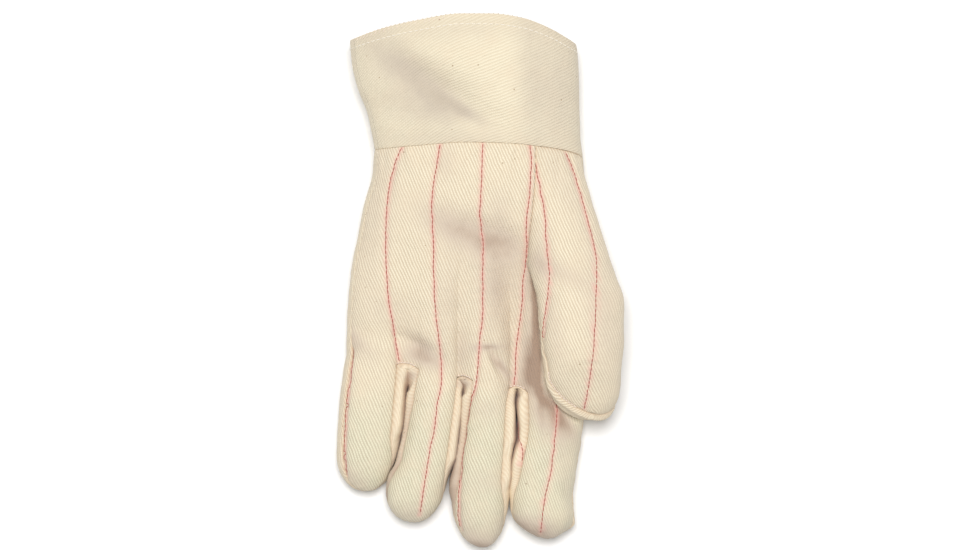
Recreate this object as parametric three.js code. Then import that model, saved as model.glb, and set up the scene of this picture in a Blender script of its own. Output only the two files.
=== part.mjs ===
// A quilted cotton work glove with a band cuff, lying on its back with the palm up.
// Units are millimetres. The fingers point along -Y, the cuff along +Y, the thumb
// lies over the palm at +X, and the table is the plane Z = 0.
//
// Each cloth panel is one solid: an outer surface laid out as a grid between its seams,
// an inner surface one cloth thickness inside it, and the raw edges between the two.
import * as THREE from "three";

// Palm and wrist.
const WRIST_WIDTH = 104;
const WRIST_THICKNESS = 40;
const PALM_LENGTH = 102.4;
const PALM_THICKNESS = 36;
const KNUCKLE_SHIFT = -6.95;
const KNUCKLE_SLOPE = 0.21;

// Cuff.
const CUFF_HEIGHT = 63.5;
const RIM_WIDTH = 113.5;
const RIM_THICKNESS = 50;
const RIM_SHIFT = -7.8;
const HEM_HEIGHT = 6;

// Fingers and thumb, from the knuckle line or the thumb's crotch to the tip.
const LITTLE_LENGTH = 65.6;
const LITTLE_WIDTH = 33;
const LITTLE_THICKNESS = 25;
const RING_LENGTH = 75;
const RING_WIDTH = 30;
const RING_THICKNESS = 27;
const MIDDLE_LENGTH = 81.9;
const MIDDLE_WIDTH = 30;
const MIDDLE_THICKNESS = 28;
const INDEX_LENGTH = 71;
const INDEX_WIDTH = 32;
const INDEX_THICKNESS = 28;
const THUMB_LENGTH = 75.5;
const THUMB_WIDTH = 43;
const THUMB_THICKNESS = 25;
const THUMB_LIFT = 40;

// Cloth.
const PALM_CLOTH = 3;
const BACK_CLOTH = 2.4;
const SIDE_CLOTH = 2;
const THUMB_CLOTH = 2.8;
const CUFF_CLOTH = 2;
const HEM_CLOTH = 3.2;
const SEAM_GAP = 0.34;
const FINGER_GAP = 0.7;
const MITRE = 0.75;
const CROTCH_BEND = 1.2;

// How finely the panels are laid out, in cells.
const FRONT_CELLS = 6;
const BACK_CELLS = 5;
const OUTER_BACK_CELLS = 7;
const SIDE_CELLS = 2;
const CROTCH_CELLS = 2;
const THUMB_FRONT_CELLS = 9;
const ROOT_ROWS = 6;
const KNUCKLE_ROWS = 6;
const CUFF_ROWS = 7;
const FINGER_STATIONS = [0, 0.08, 0.18, 0.3, 0.43, 0.56, 0.68, 0.78, 0.86, 0.925, 0.97, 1];
const THUMB_STATIONS = [0, 0.04, 0.1, 0.18, 0.28, 0.4, 0.52, 0.64, 0.75, 0.84, 0.91, 0.965, 1];

// Colours of the cloth.
const TWILL = { color: 0xeddfc4, roughness: 0.93, metalness: 0 };
const CUFF_TWILL = { color: 0xede2c6, roughness: 0.9, metalness: 0 };
const STRIP_TWILL = { color: 0xeddabf, roughness: 0.93, metalness: 0 };

// Each finger from the little finger to the index: its size, where its rounded tip
// starts as a share of its length, and how blunt the tip is. Each row is a section: at is
// its share of the length, lean its sideways shift as a share of the length, wide its
// share of the width, and left and right are the angles of its two seams above the widest
// line, in degrees.
const FINGERS = [
  {
    length: LITTLE_LENGTH, width: LITTLE_WIDTH, thickness: LITTLE_THICKNESS,
    tipStart: 0.55, blunt: 2.8,
    rows: [
      { at: 0, lean: 0, wide: 0.952, left: 36, right: 50 },
      { at: 0.14, lean: -0.0116, wide: 0.992, left: 36, right: 52 },
      { at: 0.295, lean: -0.029, wide: 1, left: 35, right: 51 },
      { at: 0.45, lean: -0.0445, wide: 1.015, left: 35, right: 51 },
      { at: 0.605, lean: -0.058, wide: 0.979, left: 36, right: 50 },
      { at: 0.76, lean: -0.077, wide: 0.952, left: 38, right: 45 },
      { at: 0.876, lean: -0.087, wide: 0.964, left: 36, right: 31 },
      { at: 1, lean: -0.083, wide: 1.01, left: 30, right: 20 },
    ],
  },
  {
    length: RING_LENGTH, width: RING_WIDTH, thickness: RING_THICKNESS,
    tipStart: 0.68, blunt: 2.6,
    rows: [
      { at: 0, lean: 0, wide: 0.9, left: 55, right: 33 },
      { at: 0.174, lean: -0.003, wide: 0.917, left: 38, right: 43 },
      { at: 0.308, lean: -0.013, wide: 0.933, left: 29, right: 47 },
      { at: 0.442, lean: -0.032, wide: 0.958, left: 26, right: 49 },
      { at: 0.575, lean: -0.057, wide: 1, left: 30, right: 48 },
      { at: 0.709, lean: -0.113, wide: 1.033, left: 32, right: 40 },
      { at: 0.803, lean: -0.133, wide: 1.043, left: 30, right: 34 },
      { at: 0.883, lean: -0.143, wide: 1.06, left: 26, right: 28 },
      { at: 1, lean: -0.15, wide: 1.05, left: 20, right: 20 },
    ],
  },
  {
    length: MIDDLE_LENGTH, width: MIDDLE_WIDTH, thickness: MIDDLE_THICKNESS,
    tipStart: 0.6, blunt: 2.3,
    rows: [
      { at: 0, lean: 0, wide: 0.9, left: 56, right: 37 },
      { at: 0.09, lean: 0, wide: 0.875, left: 47, right: 46 },
      { at: 0.212, lean: 0.0015, wide: 0.925, left: 35, right: 55 },
      { at: 0.334, lean: -0.007, wide: 0.947, left: 28, right: 56 },
      { at: 0.457, lean: -0.032, wide: 0.925, left: 33, right: 47 },
      { at: 0.579, lean: -0.048, wide: 1.003, left: 43, right: 49 },
      { at: 0.664, lean: -0.051, wide: 0.997, left: 40, right: 51 },
      { at: 0.811, lean: -0.056, wide: 1.007, left: 34, right: 50 },
      { at: 0.957, lean: -0.049, wide: 1.05, left: 28, right: 38 },
      { at: 1, lean: -0.037, wide: 1.06, left: 20, right: 30 },
    ],
  },
  {
    length: INDEX_LENGTH, width: INDEX_WIDTH, thickness: INDEX_THICKNESS,
    tipStart: 0.8, blunt: 1.8,
    rows: [
      { at: 0, lean: 0, wide: 1.078, left: 51, right: 8 },
      { at: 0.154, lean: 0.004, wide: 1.058, left: 52, right: 8 },
      { at: 0.298, lean: -0.002, wide: 1.009, left: 46, right: 8 },
      { at: 0.37, lean: -0.024, wide: 1.056, left: 51, right: 8 },
      { at: 0.442, lean: -0.0355, wide: 1.059, left: 51, right: 8 },
      { at: 0.558, lean: -0.044, wide: 1.02, left: 42, right: 8 },
      { at: 0.68, lean: -0.058, wide: 1.015, left: 38, right: 8 },
      { at: 0.831, lean: -0.045, wide: 1.016, left: 30, right: 8 },
      { at: 0.932, lean: -0.027, wide: 0.961, left: 24, right: 6 },
      { at: 1, lean: -0.012, wide: 0.88, left: 20, right: 5 },
    ],
  },
];

// The thumb's sections. lift is the height of the section's centre as a share of
// THUMB_LIFT, seam the angle of its left seam above the widest line.
const THUMB_ROWS = [
  { at: 0, lean: 0, wide: 1.06, lift: 0.87, seam: 0 },
  { at: 0.144, lean: 0.037, wide: 1.048, lift: 0.93, seam: 0 },
  { at: 0.24, lean: 0.054, wide: 1.012, lift: 0.965, seam: 0 },
  { at: 0.35, lean: 0.056, wide: 0.994, lift: 0.99, seam: 1 },
  { at: 0.49, lean: 0.068, wide: 0.964, lift: 1, seam: 2 },
  { at: 0.59, lean: 0.075, wide: 0.917, lift: 0.995, seam: 3 },
  { at: 0.7, lean: 0.0795, wide: 0.865, lift: 0.98, seam: 7 },
  { at: 0.81, lean: 0.08, wide: 0.92, lift: 0.95, seam: 22 },
  { at: 0.89, lean: 0.095, wide: 0.975, lift: 0.92, seam: 30 },
  { at: 1, lean: 0.135, wide: 1, lift: 0.88, seam: 30 },
];
const THUMB_TIP_START = 0.66;
const THUMB_BLUNT = 2;
const THUMB_RIGHT_SEAM = -42;
const THUMB_TIP_ROLL = 1;
const THUMB_FREE = 0.32;
const ROOT_SWELL = 1.45;

// The body from the cuff seam (at 0) to the knuckle line (at 1). left and right run from
// the wrist's edge (0) to the knuckles' (1), swell is what the thumb's root adds on the
// right as a share of the wrist width, thick is the share of PALM_THICKNESS, and thumb is
// how far the thumb's seam line lies right of the glove's middle, as a share of the wrist
// width. knuckle is how much of the fingers' own roundness shows.
const BODY_ROWS = [
  { at: 0, left: 0, right: 0, swell: 0, thick: 1.11, thumb: 0.273, knuckle: 0 },
  { at: 0.1, left: 0.07, right: 0.1, swell: 0.007, thick: 1.11, thumb: 0.272, knuckle: 0 },
  { at: 0.27, left: 0.37, right: 0.3, swell: 0.026, thick: 1.08, thumb: 0.255, knuckle: 0.02 },
  { at: 0.39, left: 0.54, right: 0.4, swell: 0.035, thick: 1.05, thumb: 0.236, knuckle: 0.06 },
  { at: 0.5, left: 0.705, right: 0.5, swell: 0.04, thick: 1, thumb: 0.226, knuckle: 0.15 },
  { at: 0.62, left: 0.84, right: 0.6, swell: 0.034, thick: 0.95, thumb: 0.222, knuckle: 0.32 },
  { at: 0.75, left: 0.935, right: 0.75, swell: 0.022, thick: 0.89, thumb: 0.224, knuckle: 0.58 },
  { at: 0.88, left: 0.975, right: 0.88, swell: 0.012, thick: 0.83, thumb: 0.228, knuckle: 0.84 },
  { at: 1, left: 1, right: 1, swell: 0, thick: 0.778, thumb: 0.235, knuckle: 1 },
];
const CROTCH_AT = 0.475;
const SIDE_HEIGHT = 0.46;
const CROWN_ROUNDNESS = 2.5;
const SOLE_ROUNDNESS = 4;
const PRESSED = 0.6;

// The cuff from its seam (at 0) to its rim (at 1): left and right run from the wrist's
// edge (0) to the rim's (1), and tall from the wrist's height to the rim's.
const CUFF_SECTIONS = [
  { at: 0, left: 0, right: 0, tall: 0 },
  { at: 0.15, left: 0.1, right: 0.4, tall: 0.2 },
  { at: 0.26, left: 0.19, right: 0.5, tall: 0.35 },
  { at: 0.37, left: 0.34, right: 0.55, tall: 0.5 },
  { at: 0.48, left: 0.54, right: 0.58, tall: 0.64 },
  { at: 0.6, left: 0.71, right: 0.55, tall: 0.77 },
  { at: 0.8, left: 0.9, right: 0.65, tall: 0.92 },
  { at: 1, left: 1, right: 1, tall: 1 },
];

// The cuff seam and the rim, from the left side (across -1) to the right (across 1).
// reach is how far the line runs up as a share of the cuff height, in front and behind.
const SEAM_LINE = [
  { across: -1, front: 0, back: 0 },
  { across: -0.6, front: 0.026, back: 0.012 },
  { across: -0.1, front: 0.052, back: 0.02 },
  { across: 0.3, front: 0.044, back: 0.01 },
  { across: 0.7, front: 0.004, back: -0.03 },
  { across: 1, front: -0.06, back: -0.06 },
];
const RIM_LINE = [
  { across: -1, front: 0.858, back: 0.858 },
  { across: -0.77, front: 0.925, back: 0.87 },
  { across: -0.4, front: 1, back: 0.9 },
  { across: 0, front: 1.052, back: 0.93 },
  { across: 0.25, front: 1.052, back: 0.93 },
  { across: 0.5, front: 1.024, back: 0.91 },
  { across: 0.75, front: 0.95, back: 0.87 },
  { across: 1, front: 0.83, back: 0.83 },
];

// Dents and ridges of the front, as shares: x of the wrist width from the glove's middle,
// y of the palm length below the left end of the cuff seam, along and across of the wrist
// width, and deep of the palm thickness, with ridges below zero. turn is in degrees.
const DENTS = [
  { name: "cuff hollow", x: -0.2, y: -0.31, along: 0.27, across: 0.075, turn: -36, deep: 0.13 },
  { name: "cuff shoulder", x: -0.02, y: -0.44, along: 0.3, across: 0.1, turn: -60, deep: -0.05 },
  { name: "palm crease", x: 0.03, y: 0.41, along: 0.22, across: 0.075, turn: -18, deep: 0.1 },
  { name: "beside thumb", x: 0.14, y: 0.7, along: 0.3, across: 0.06, turn: -84, deep: 0.1 },
  { name: "under thumb", x: 0.44, y: 0.93, along: 0.34, across: 0.17, turn: -86, deep: 0.2 },
  { name: "thumb crotch", x: 0.33, y: 0.57, along: 0.08, across: 0.1, turn: 0, deep: 0.07 },
  { name: "little knuckle", x: -0.57, y: 0.88, along: 0.1, across: 0.05, turn: -40, deep: 0.05 },
  { name: "ring knuckle", x: -0.29, y: 0.97, along: 0.15, across: 0.05, turn: -32, deep: 0.07 },
  { name: "middle knuckle", x: 0.1, y: 1.04, along: 0.08, across: 0.03, turn: -70, deep: 0.05 },
  { name: "heel pad", x: -0.15, y: 0.72, along: 0.3, across: 0.12, turn: -75, deep: -0.04 },
];

const DENT_HEIGHT = 27;

const RAD = Math.PI / 180;

// A smooth curve through one column of a table, without overshoot.
function column(rows, key, value) {
  const xs = rows.map((r) => r[key]);
  const ys = rows.map((r) => r[value]);
  const steps = xs.slice(1).map((x, i) => (ys[i + 1] - ys[i]) / (x - xs[i]));
  const slopes = xs.map((_, i) => {
    const before = steps[Math.max(i - 1, 0)];
    const after = steps[Math.min(i, steps.length - 1)];
    return before * after <= 0 ? 0 : (2 * before * after) / (before + after);
  });
  return (x) => {
    const inside = THREE.MathUtils.clamp(x, xs[0], xs[xs.length - 1]);
    const i = Math.min(xs.findLastIndex((v) => v <= inside), xs.length - 2);
    const h = xs[i + 1] - xs[i];
    const t = (inside - xs[i]) / h;
    const rise = t * t * (3 - 2 * t);
    const leave = t * (1 - t) * (1 - t) * h * slopes[i];
    const arrive = t * t * (t - 1) * h * slopes[i + 1];
    return ys[i] + (ys[i + 1] - ys[i]) * rise + leave + arrive;
  };
}

const columns = (rows, key, ...names) =>
  Object.fromEntries(names.map((name) => [name, column(rows, key, name)]));
const smooth = (x) => THREE.MathUtils.smoothstep(x, 0, 1);
const mix = THREE.MathUtils.lerp;
const power = (value, exponent) => Math.sign(value) * Math.abs(value) ** exponent;
const ease = (count) => Array.from({ length: count + 1 }, (_, i) => i / count);

// Angles from one seam to the next, in equal steps.
const fan = (from, to, cells) => ease(cells).map((s) => mix(from, to, s));

// Shares of the width left by a rounded tip.
const tipShare = (at, start, blunt) =>
  Math.sqrt(Math.max(0, 1 - (Math.max(0, at - start) / (1 - start)) ** blunt));

const body = columns(BODY_ROWS, "at", "left", "right", "swell", "thick", "thumb", "knuckle");
const cuffSection = columns(CUFF_SECTIONS, "at", "left", "right", "tall");
const seamLine = columns(SEAM_LINE, "across", "front", "back");
const rimLine = columns(RIM_LINE, "across", "front", "back");

// How far a point of the front is pressed down by the dents.
function dentAt(x, y) {
  return DENTS.reduce((sum, d) => {
    const dx = x / WRIST_WIDTH - d.x;
    const dy = (y / PALM_LENGTH + d.y) * (PALM_LENGTH / WRIST_WIDTH);
    const c = Math.cos(d.turn * RAD);
    const s = Math.sin(d.turn * RAD);
    const along = (dx * c + dy * s) / d.along;
    const across = (dy * c - dx * s) / d.across;
    return sum + PALM_THICKNESS * d.deep * Math.exp(-along * along - across * across);
  }, 0);
}

// Presses the dents into the upper side.
function pressed(point, share = 1) {
  const facing = smooth(point.z / DENT_HEIGHT) * share;
  return point.setZ(point.z - dentAt(point.x, point.y) * facing);
}

// The knuckle line: where each finger starts, from the little finger to the index.
const baseWidths = FINGERS.map((f) => f.width * f.rows[0].wide);
const KNUCKLE_WIDTH = baseWidths.reduce((sum, w) => sum + w, 0);
const knuckleLeft = KNUCKLE_SHIFT - KNUCKLE_WIDTH / 2;
const knuckleRight = KNUCKLE_SHIFT + KNUCKLE_WIDTH / 2;
const knuckleY = (x) => -PALM_LENGTH - KNUCKLE_SLOPE * (x - knuckleLeft);
const fingers = FINGERS.map((f, i) => {
  const left = knuckleLeft + baseWidths.slice(0, i).reduce((sum, w) => sum + w, 0);
  const x = left + baseWidths[i] / 2;
  return { ...f, ...columns(f.rows, "at", "lean", "wide", "left", "right"), x, y: knuckleY(x) };
});

// A point of a finger's skin, at a share of its length and an angle from its right side.
function fingerPoint(finger, at, angle) {
  const tip = tipShare(at, finger.tipStart, finger.blunt);
  const half = (finger.width * finger.wide(at) * tip - FINGER_GAP) / 2;
  const x = finger.x + finger.lean(at) * finger.length;
  const middle = finger.thickness / 2;
  const c = power(Math.cos(angle * RAD), 2 / CROWN_ROUNDNESS);
  const s = Math.sin(angle * RAD);
  const up = power(s, 2 / (s > 0 ? CROWN_ROUNDNESS : SOLE_ROUNDNESS - 1));
  const high = s > 0 ? middle * tip : (middle + PRESSED) * Math.sqrt(tip);
  const dx = Math.max(half, 0) * c;
  const slope = KNUCKLE_SLOPE * (1 - smooth(at / 0.4));
  const y = finger.y - at * finger.length - slope * (x + dx - finger.x);
  return new THREE.Vector3(x + dx, y, Math.max(0, middle + high * up));
}

// The side strips narrow towards the tip, and end in a point before it.
const STRIP_END = 0.925;
const SIDE_SEAM = -36;
const narrowing = (angle, at) =>
  mix(angle, 8, smooth((at - 0.55) / (STRIP_END - 0.55)));

// The angles round one finger at one station, split into front, right side, back and
// left side. The outer sides of the little finger and the index have no strip.
function fingerAngles(index, at) {
  const finger = fingers[index];
  const first = index === 0;
  const last = index === fingers.length - 1;
  const left = 180 - (first ? finger.left(at) : narrowing(finger.left(at), at));
  const right = last ? finger.right(at) : narrowing(finger.right(at), at);
  const lowRight = last ? right : narrowing(SIDE_SEAM, at);
  const lowLeft = first ? left - 360 : -180 - narrowing(SIDE_SEAM, at);
  const backCells = first || last ? OUTER_BACK_CELLS : BACK_CELLS;
  return {
    front: fan(left, right, FRONT_CELLS),
    rightSide: fan(right, lowRight, SIDE_CELLS),
    back: fan(lowRight, lowLeft, backCells),
    leftSide: fan(lowLeft, left - 360, SIDE_CELLS),
  };
}

const rawRow = (index, at, part) =>
  fingerAngles(index, at)[part].map((angle) => fingerPoint(fingers[index], at, angle));
const fingerRow = (index, at, part) => rawRow(index, at, part).map((p) => pressed(p));

// The bend of a side strip round a crotch, as rows from the finger on its left to the
// one on its right. Each row runs from the back seam to the front seam.
function crotchRows(index) {
  const from = rawRow(index, 0, "rightSide").reverse();
  const to = rawRow(index + 1, 0, "leftSide");
  return ease(CROTCH_CELLS).map((share) =>
    from.map((point, i) => {
      const made = point.clone().lerp(to[i], share);
      made.y += CROTCH_BEND * Math.sin(share * Math.PI);
      return made;
    }),
  );
}

// The ring of points where the fingers meet the body, in front from left to right and
// behind from right to left, with the column where the thumb's seam runs down the palm.
const knuckleFront = [];
const knuckleBack = [];
fingers.forEach((_, i) => {
  knuckleFront.push(...rawRow(i, 0, "front"));
  if (i < fingers.length - 1) {
    knuckleFront.push(...crotchRows(i).slice(1, -1).map((row) => row[row.length - 1]));
  }
});
fingers.toReversed().forEach((_, n) => {
  const i = fingers.length - 1 - n;
  knuckleBack.push(...rawRow(i, 0, "back"));
  if (i > 0) {
    knuckleBack.push(...crotchRows(i - 1).slice(1, -1).map((row) => row[0]).reverse());
  }
});
const THUMB_COLUMN = knuckleFront.length - 1 - FRONT_CELLS;
const ringLeft = Math.min(...knuckleBack.map((p) => p.x));
const ringRight = Math.max(...knuckleBack.map((p) => p.x));

// The height of the body's skin over a place across it, from -1 to 1.
function skinHeight(across, tall, isFront) {
  const side = tall * SIDE_HEIGHT;
  const roundness = isFront ? CROWN_ROUNDNESS : SOLE_ROUNDNESS;
  const full = (1 - Math.min(1, Math.abs(across)) ** roundness) ** (1 / roundness);
  return isFront ? side + (tall - side) * full : Math.max(0, side - (side + PRESSED) * full);
}

// The body's left and right edges and its thumb seam, from the cuff seam down.
function edges(at) {
  const left = mix(-WRIST_WIDTH / 2, ringLeft, body.left(at));
  const swell = WRIST_WIDTH * body.swell(at);
  const right = mix(WRIST_WIDTH / 2, ringRight, body.right(at)) + swell;
  const settled = smooth((at - CROTCH_AT) / (1 - CROTCH_AT));
  const thumb = mix(WRIST_WIDTH * body.thumb(at), knuckleFront[THUMB_COLUMN].x, settled);
  return { left, right, thumb };
}

// A line round the glove lies lower behind than in front.
const aroundLine = (line, across, high) =>
  CUFF_HEIGHT * mix(line.back(across), line.front(across), smooth(high));

// Where a column of the knuckle ring runs over the body, at a share of the way down.
function bodyPoint(knuckle, at) {
  const { left, right, thumb } = edges(at);
  const seam = knuckleFront[THUMB_COLUMN].x;
  const inner = (knuckle.x - ringLeft) / (seam - ringLeft);
  const outer = (knuckle.x - seam) / (ringRight - seam);
  const x = outer < 0 ? mix(left, thumb, inner) : mix(thumb, right, outer);
  const across = (2 * x - left - right) / (right - left);
  const above = knuckle.z > INDEX_THICKNESS * SIDE_HEIGHT;
  const tall = PALM_THICKNESS * body.thick(at);
  const plain = skinHeight(across, tall, above);
  const full = knuckle.z * (body.thick(at) / body.thick(1));
  const reach = aroundLine(seamLine, across, plain / tall);
  return new THREE.Vector3(x, mix(reach, knuckle.y, at), mix(plain, full, body.knuckle(at)));
}

// The thumb's left seam where it starts, and the points across the palm to its right.
const thumbStart = fingers[3].x;
const rootRow = (at) =>
  knuckleFront.slice(0, THUMB_COLUMN + 1).map((p) => pressed(bodyPoint(p, at)));
const palmRow = (at) => knuckleFront.map((p) => pressed(bodyPoint(p, at)));
const backRow = (at) => knuckleBack.map((p) => pressed(bodyPoint(p, at)));
const web = palmRow(CROTCH_AT).slice(THUMB_COLUMN);

const thumbCurve = columns(THUMB_ROWS, "at", "lean", "wide", "lift", "seam");
const thumbX = (web[0].x + web[0].x + THUMB_WIDTH * THUMB_ROWS[0].wide) / 2;
const thumbY = web[0].y;

// A point of the free thumb's skin, round the middle of its section.
function thumbCentre(at) {
  const x = thumbX + thumbCurve.lean(at) * THUMB_LENGTH;
  return new THREE.Vector3(x, thumbY - at * THUMB_LENGTH, THUMB_LIFT * thumbCurve.lift(at));
}

function thumbPoint(at, angle) {
  const tip = tipShare(at, THUMB_TIP_START, THUMB_BLUNT);
  const side = ((THUMB_WIDTH * thumbCurve.wide(at) * tip) / 2) * power(Math.cos(angle * RAD), 0.91);
  const up = ((THUMB_THICKNESS * tip) / 2) * power(Math.sin(angle * RAD), 0.91);
  const roll = THUMB_TIP_ROLL * smooth((at - 0.45) / 0.5);
  return thumbCentre(at).add(new THREE.Vector3(side, roll * up, up));
}

const thumbLeft = (at) => 180 - thumbCurve.seam(at);
const thumbRightAt = (at) => mix(THUMB_RIGHT_SEAM, -20, smooth((at - 0.5) / 0.5));

// Carries an arc's two ends to where they belong, and lets the middle be.
function settle(arc, from, to) {
  const start = from.clone().sub(arc[0]);
  const stop = to.clone().sub(arc[arc.length - 1]);
  return arc.map((point, i) => {
    const share = i / (arc.length - 1);
    return point.clone().addScaledVector(start, (1 - share) ** 4).addScaledVector(stop, share ** 8);
  });
}

// The thumb's root: an arc from the palm seam over the ball of the thumb to the side.
function rootArc(at) {
  const grow = (at / CROTCH_AT) ** ROOT_SWELL;
  const from = rootRow(at)[THUMB_COLUMN];
  const to = backRow(at)[0];
  const { left, right } = edges(at);
  const tall = PALM_THICKNESS * body.thick(at);
  const plain = ease(THUMB_FRONT_CELLS).map((share) => {
    const x = mix(from.x, to.x, Math.sin((share * Math.PI) / 2) ** 0.8);
    const y = mix(from.y, to.y, share);
    const z = skinHeight((2 * x - left - right) / (right - left), tall, true);
    return new THREE.Vector3(x, y, z);
  });
  const angles = fan(thumbLeft(0), THUMB_RIGHT_SEAM, THUMB_FRONT_CELLS);
  const round = angles.map((angle, i) => thumbPoint(0, angle).setY(plain[i].y));
  const flat = settle(plain, from, to);
  return settle(round, from, to).map((point, i) => flat[i].lerp(point, grow));
}

// A row of the free thumb, which leaves the body where the root ends.
function thumbRow(at, part) {
  const angles = {
    front: fan(thumbLeft(at), thumbRightAt(at), THUMB_FRONT_CELLS),
    back: fan(thumbRightAt(at), thumbLeft(at) - 360, web.length - 1),
  }[part];
  const start = { front: rootArc(CROTCH_AT), back: web.toReversed() }[part];
  const free = smooth(at / THUMB_FREE);
  const moved = thumbCentre(at).sub(thumbCentre(0));
  return angles.map((angle, i) => {
    return start[i].clone().add(moved).lerp(thumbPoint(at, angle), free);
  });
}

// A row of the cuff, all the way round, from the body's own columns at the seam.
const wristRing = [...rootRow(0), ...rootArc(0).slice(1), ...backRow(0).slice(1)];
function cuffRow(at) {
  const half = WRIST_WIDTH / 2;
  const left = mix(-half, RIM_SHIFT - RIM_WIDTH / 2, cuffSection.left(at));
  const right = mix(half, RIM_SHIFT + RIM_WIDTH / 2, cuffSection.right(at));
  const tall = mix(WRIST_THICKNESS, RIM_THICKNESS, cuffSection.tall(at));
  return wristRing.map((point) => {
    const across = THREE.MathUtils.clamp(point.x / half, -1, 1);
    const rim = aroundLine(rimLine, across, point.z / WRIST_THICKNESS);
    const x = mix(left, right, (across + 1) / 2);
    const z = point.z * (tall / WRIST_THICKNESS);
    return pressed(new THREE.Vector3(x, mix(point.y, rim, at), z), smooth(at / 0.15));
  });
}

// All panels share their seam points, so that neighbours meet along the whole seam.
class Cloth {
  constructor() {
    this.points = [];
    this.found = new Map();
    this.panels = new Map();
    this.pins = new Map();
  }

  point(position) {
    const key = position.toArray().map((v) => Math.round(v * 500)).join();
    if (!this.found.has(key)) {
      this.found.set(key, this.points.length);
      this.points.push(position.clone());
    }
    return this.found.get(key);
  }

  // Adds a grid of rows to a panel. Its outer side is the one where the rows run down
  // and the columns to the right.
  grid(name, rows, thickness) {
    if (!this.panels.has(name)) this.panels.set(name, { faces: [], thickness: new Map() });
    const panel = this.panels.get(name);
    const ids = rows.map((row) => row.map((p) => this.point(p)));
    ids.forEach((row, i) =>
      row.forEach((id) => panel.thickness.set(id, thickness instanceof Array ? thickness[i] : thickness)),
    );
    for (let i = 1; i < ids.length; i += 1) {
      for (let j = 1; j < ids[i].length; j += 1) {
        const loop = [ids[i - 1][j - 1], ids[i][j - 1], ids[i][j], ids[i - 1][j]];
        const corners = loop.filter((id, n) => id !== loop[(n + 3) % 4]);
        if (corners.length > 2) panel.faces.push(corners);
      }
    }
  }

  // The normal at each point: that of its faces, each by its angle there.
  normals(faces) {
    const sums = new Map();
    faces.forEach((face) =>
      face.forEach((id, n) => {
        const before = this.points[face.at(n - 1)].clone().sub(this.points[id]).normalize();
        const after = this.points[face[(n + 1) % face.length]].clone().sub(this.points[id]).normalize();
        const angle = before.angleTo(after);
        if (!sums.has(id)) sums.set(id, new THREE.Vector3());
        if (angle > 0.01) sums.get(id).addScaledVector(after.cross(before).normalize(), angle);
      }),
    );
    sums.forEach((sum) => sum.normalize());
    return sums;
  }

  // Gives the panels that meet at a corner of several seams their own inward directions.
  pin(position, names, inward) {
    const id = this.point(position);
    names.forEach((name) => this.pins.set(name + id, inward.clone().normalize().negate()));
  }

  // Finds each point's normal and how deep the cloth is below it. Panels that share a
  // seam take the same depth there, so that their edges lie face to face.
  sew() {
    this.normal = this.normals([...this.panels.values()].flatMap((panel) => panel.faces));
    this.depths = new Map();
    this.panels.forEach(({ faces, thickness }) =>
      this.normals(faces).forEach((own, id) => {
        if (!this.depths.has(id)) this.depths.set(id, []);
        this.depths.get(id).push(thickness.get(id) / Math.max(MITRE, own.dot(this.normal.get(id))));
      }),
    );
  }

  // The closed wall of one panel.
  wall(name) {
    const { faces, thickness } = this.panels.get(name);
    const edgeFaces = new Map();
    faces.forEach((face) =>
      face.forEach((a, n) => {
        const b = face[(n + 1) % face.length];
        if (edgeFaces.has(b + "_" + a)) edgeFaces.delete(b + "_" + a);
        else edgeFaces.set(a + "_" + b, face);
      }),
    );
    const inward = new Map();
    const rim = [...edgeFaces].map(([key, face]) => {
      const [a, b] = key.split("_").map(Number);
      const along = this.points[b].clone().sub(this.points[a]).normalize();
      const middle = face
        .reduce((sum, id) => sum.add(this.points[id]), new THREE.Vector3())
        .divideScalar(face.length)
        .sub(this.points[a]);
      const into = middle.addScaledVector(along, -middle.dot(along)).normalize();
      [a, b].forEach((id) => {
        if (!inward.has(id)) inward.set(id, new THREE.Vector3());
        inward.get(id).add(into);
      });
      return [a, b];
    });
    const order = [...thickness.keys()];
    const place = new Map(order.map((id, n) => [id, n]));
    const outer = [];
    const inner = [];
    order.forEach((id) => {
      const at = this.points[id].clone();
      const pinned = this.pins.get(name + id);
      const normal = pinned ?? this.normal.get(id);
      const depths = this.depths.get(id);
      const shared = depths.reduce((sum, v) => sum + v, 0) / depths.length;
      const depth = pinned ? thickness.get(id) : shared;
      if (inward.has(id)) {
        const into = inward.get(id);
        into.addScaledVector(normal, -into.dot(normal)).normalize();
        at.addScaledVector(into, SEAM_GAP / 2);
      }
      outer.push(at);
      inner.push(at.clone().addScaledVector(normal, -depth));
    });
    const indices = [];
    const triangle = (...corners) => indices.push(...corners);
    const count = order.length;
    faces.forEach((face) => {
      const [a, b, c, d] = face.map((id) => place.get(id));
      triangle(a, b, c);
      triangle(a + count, c + count, b + count);
      if (d !== undefined) {
        triangle(a, c, d);
        triangle(a + count, d + count, c + count);
      }
    });
    rim.forEach(([from, to]) => {
      const a = place.get(from);
      const b = place.get(to);
      const corner = from < to ? b + count : a + count;
      triangle(b, a, corner);
      if (from < to) triangle(a, a + count, corner);
      else triangle(b, corner, b + count);
    });
    const geometry = new THREE.BufferGeometry();
    const positions = [...outer, ...inner].flatMap((p) => p.toArray());
    geometry.setAttribute("position", new THREE.Float32BufferAttribute(positions, 3));
    geometry.setIndex(indices);
    geometry.computeVertexNormals();
    return geometry;
  }
}

const cloth = new Cloth();

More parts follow.
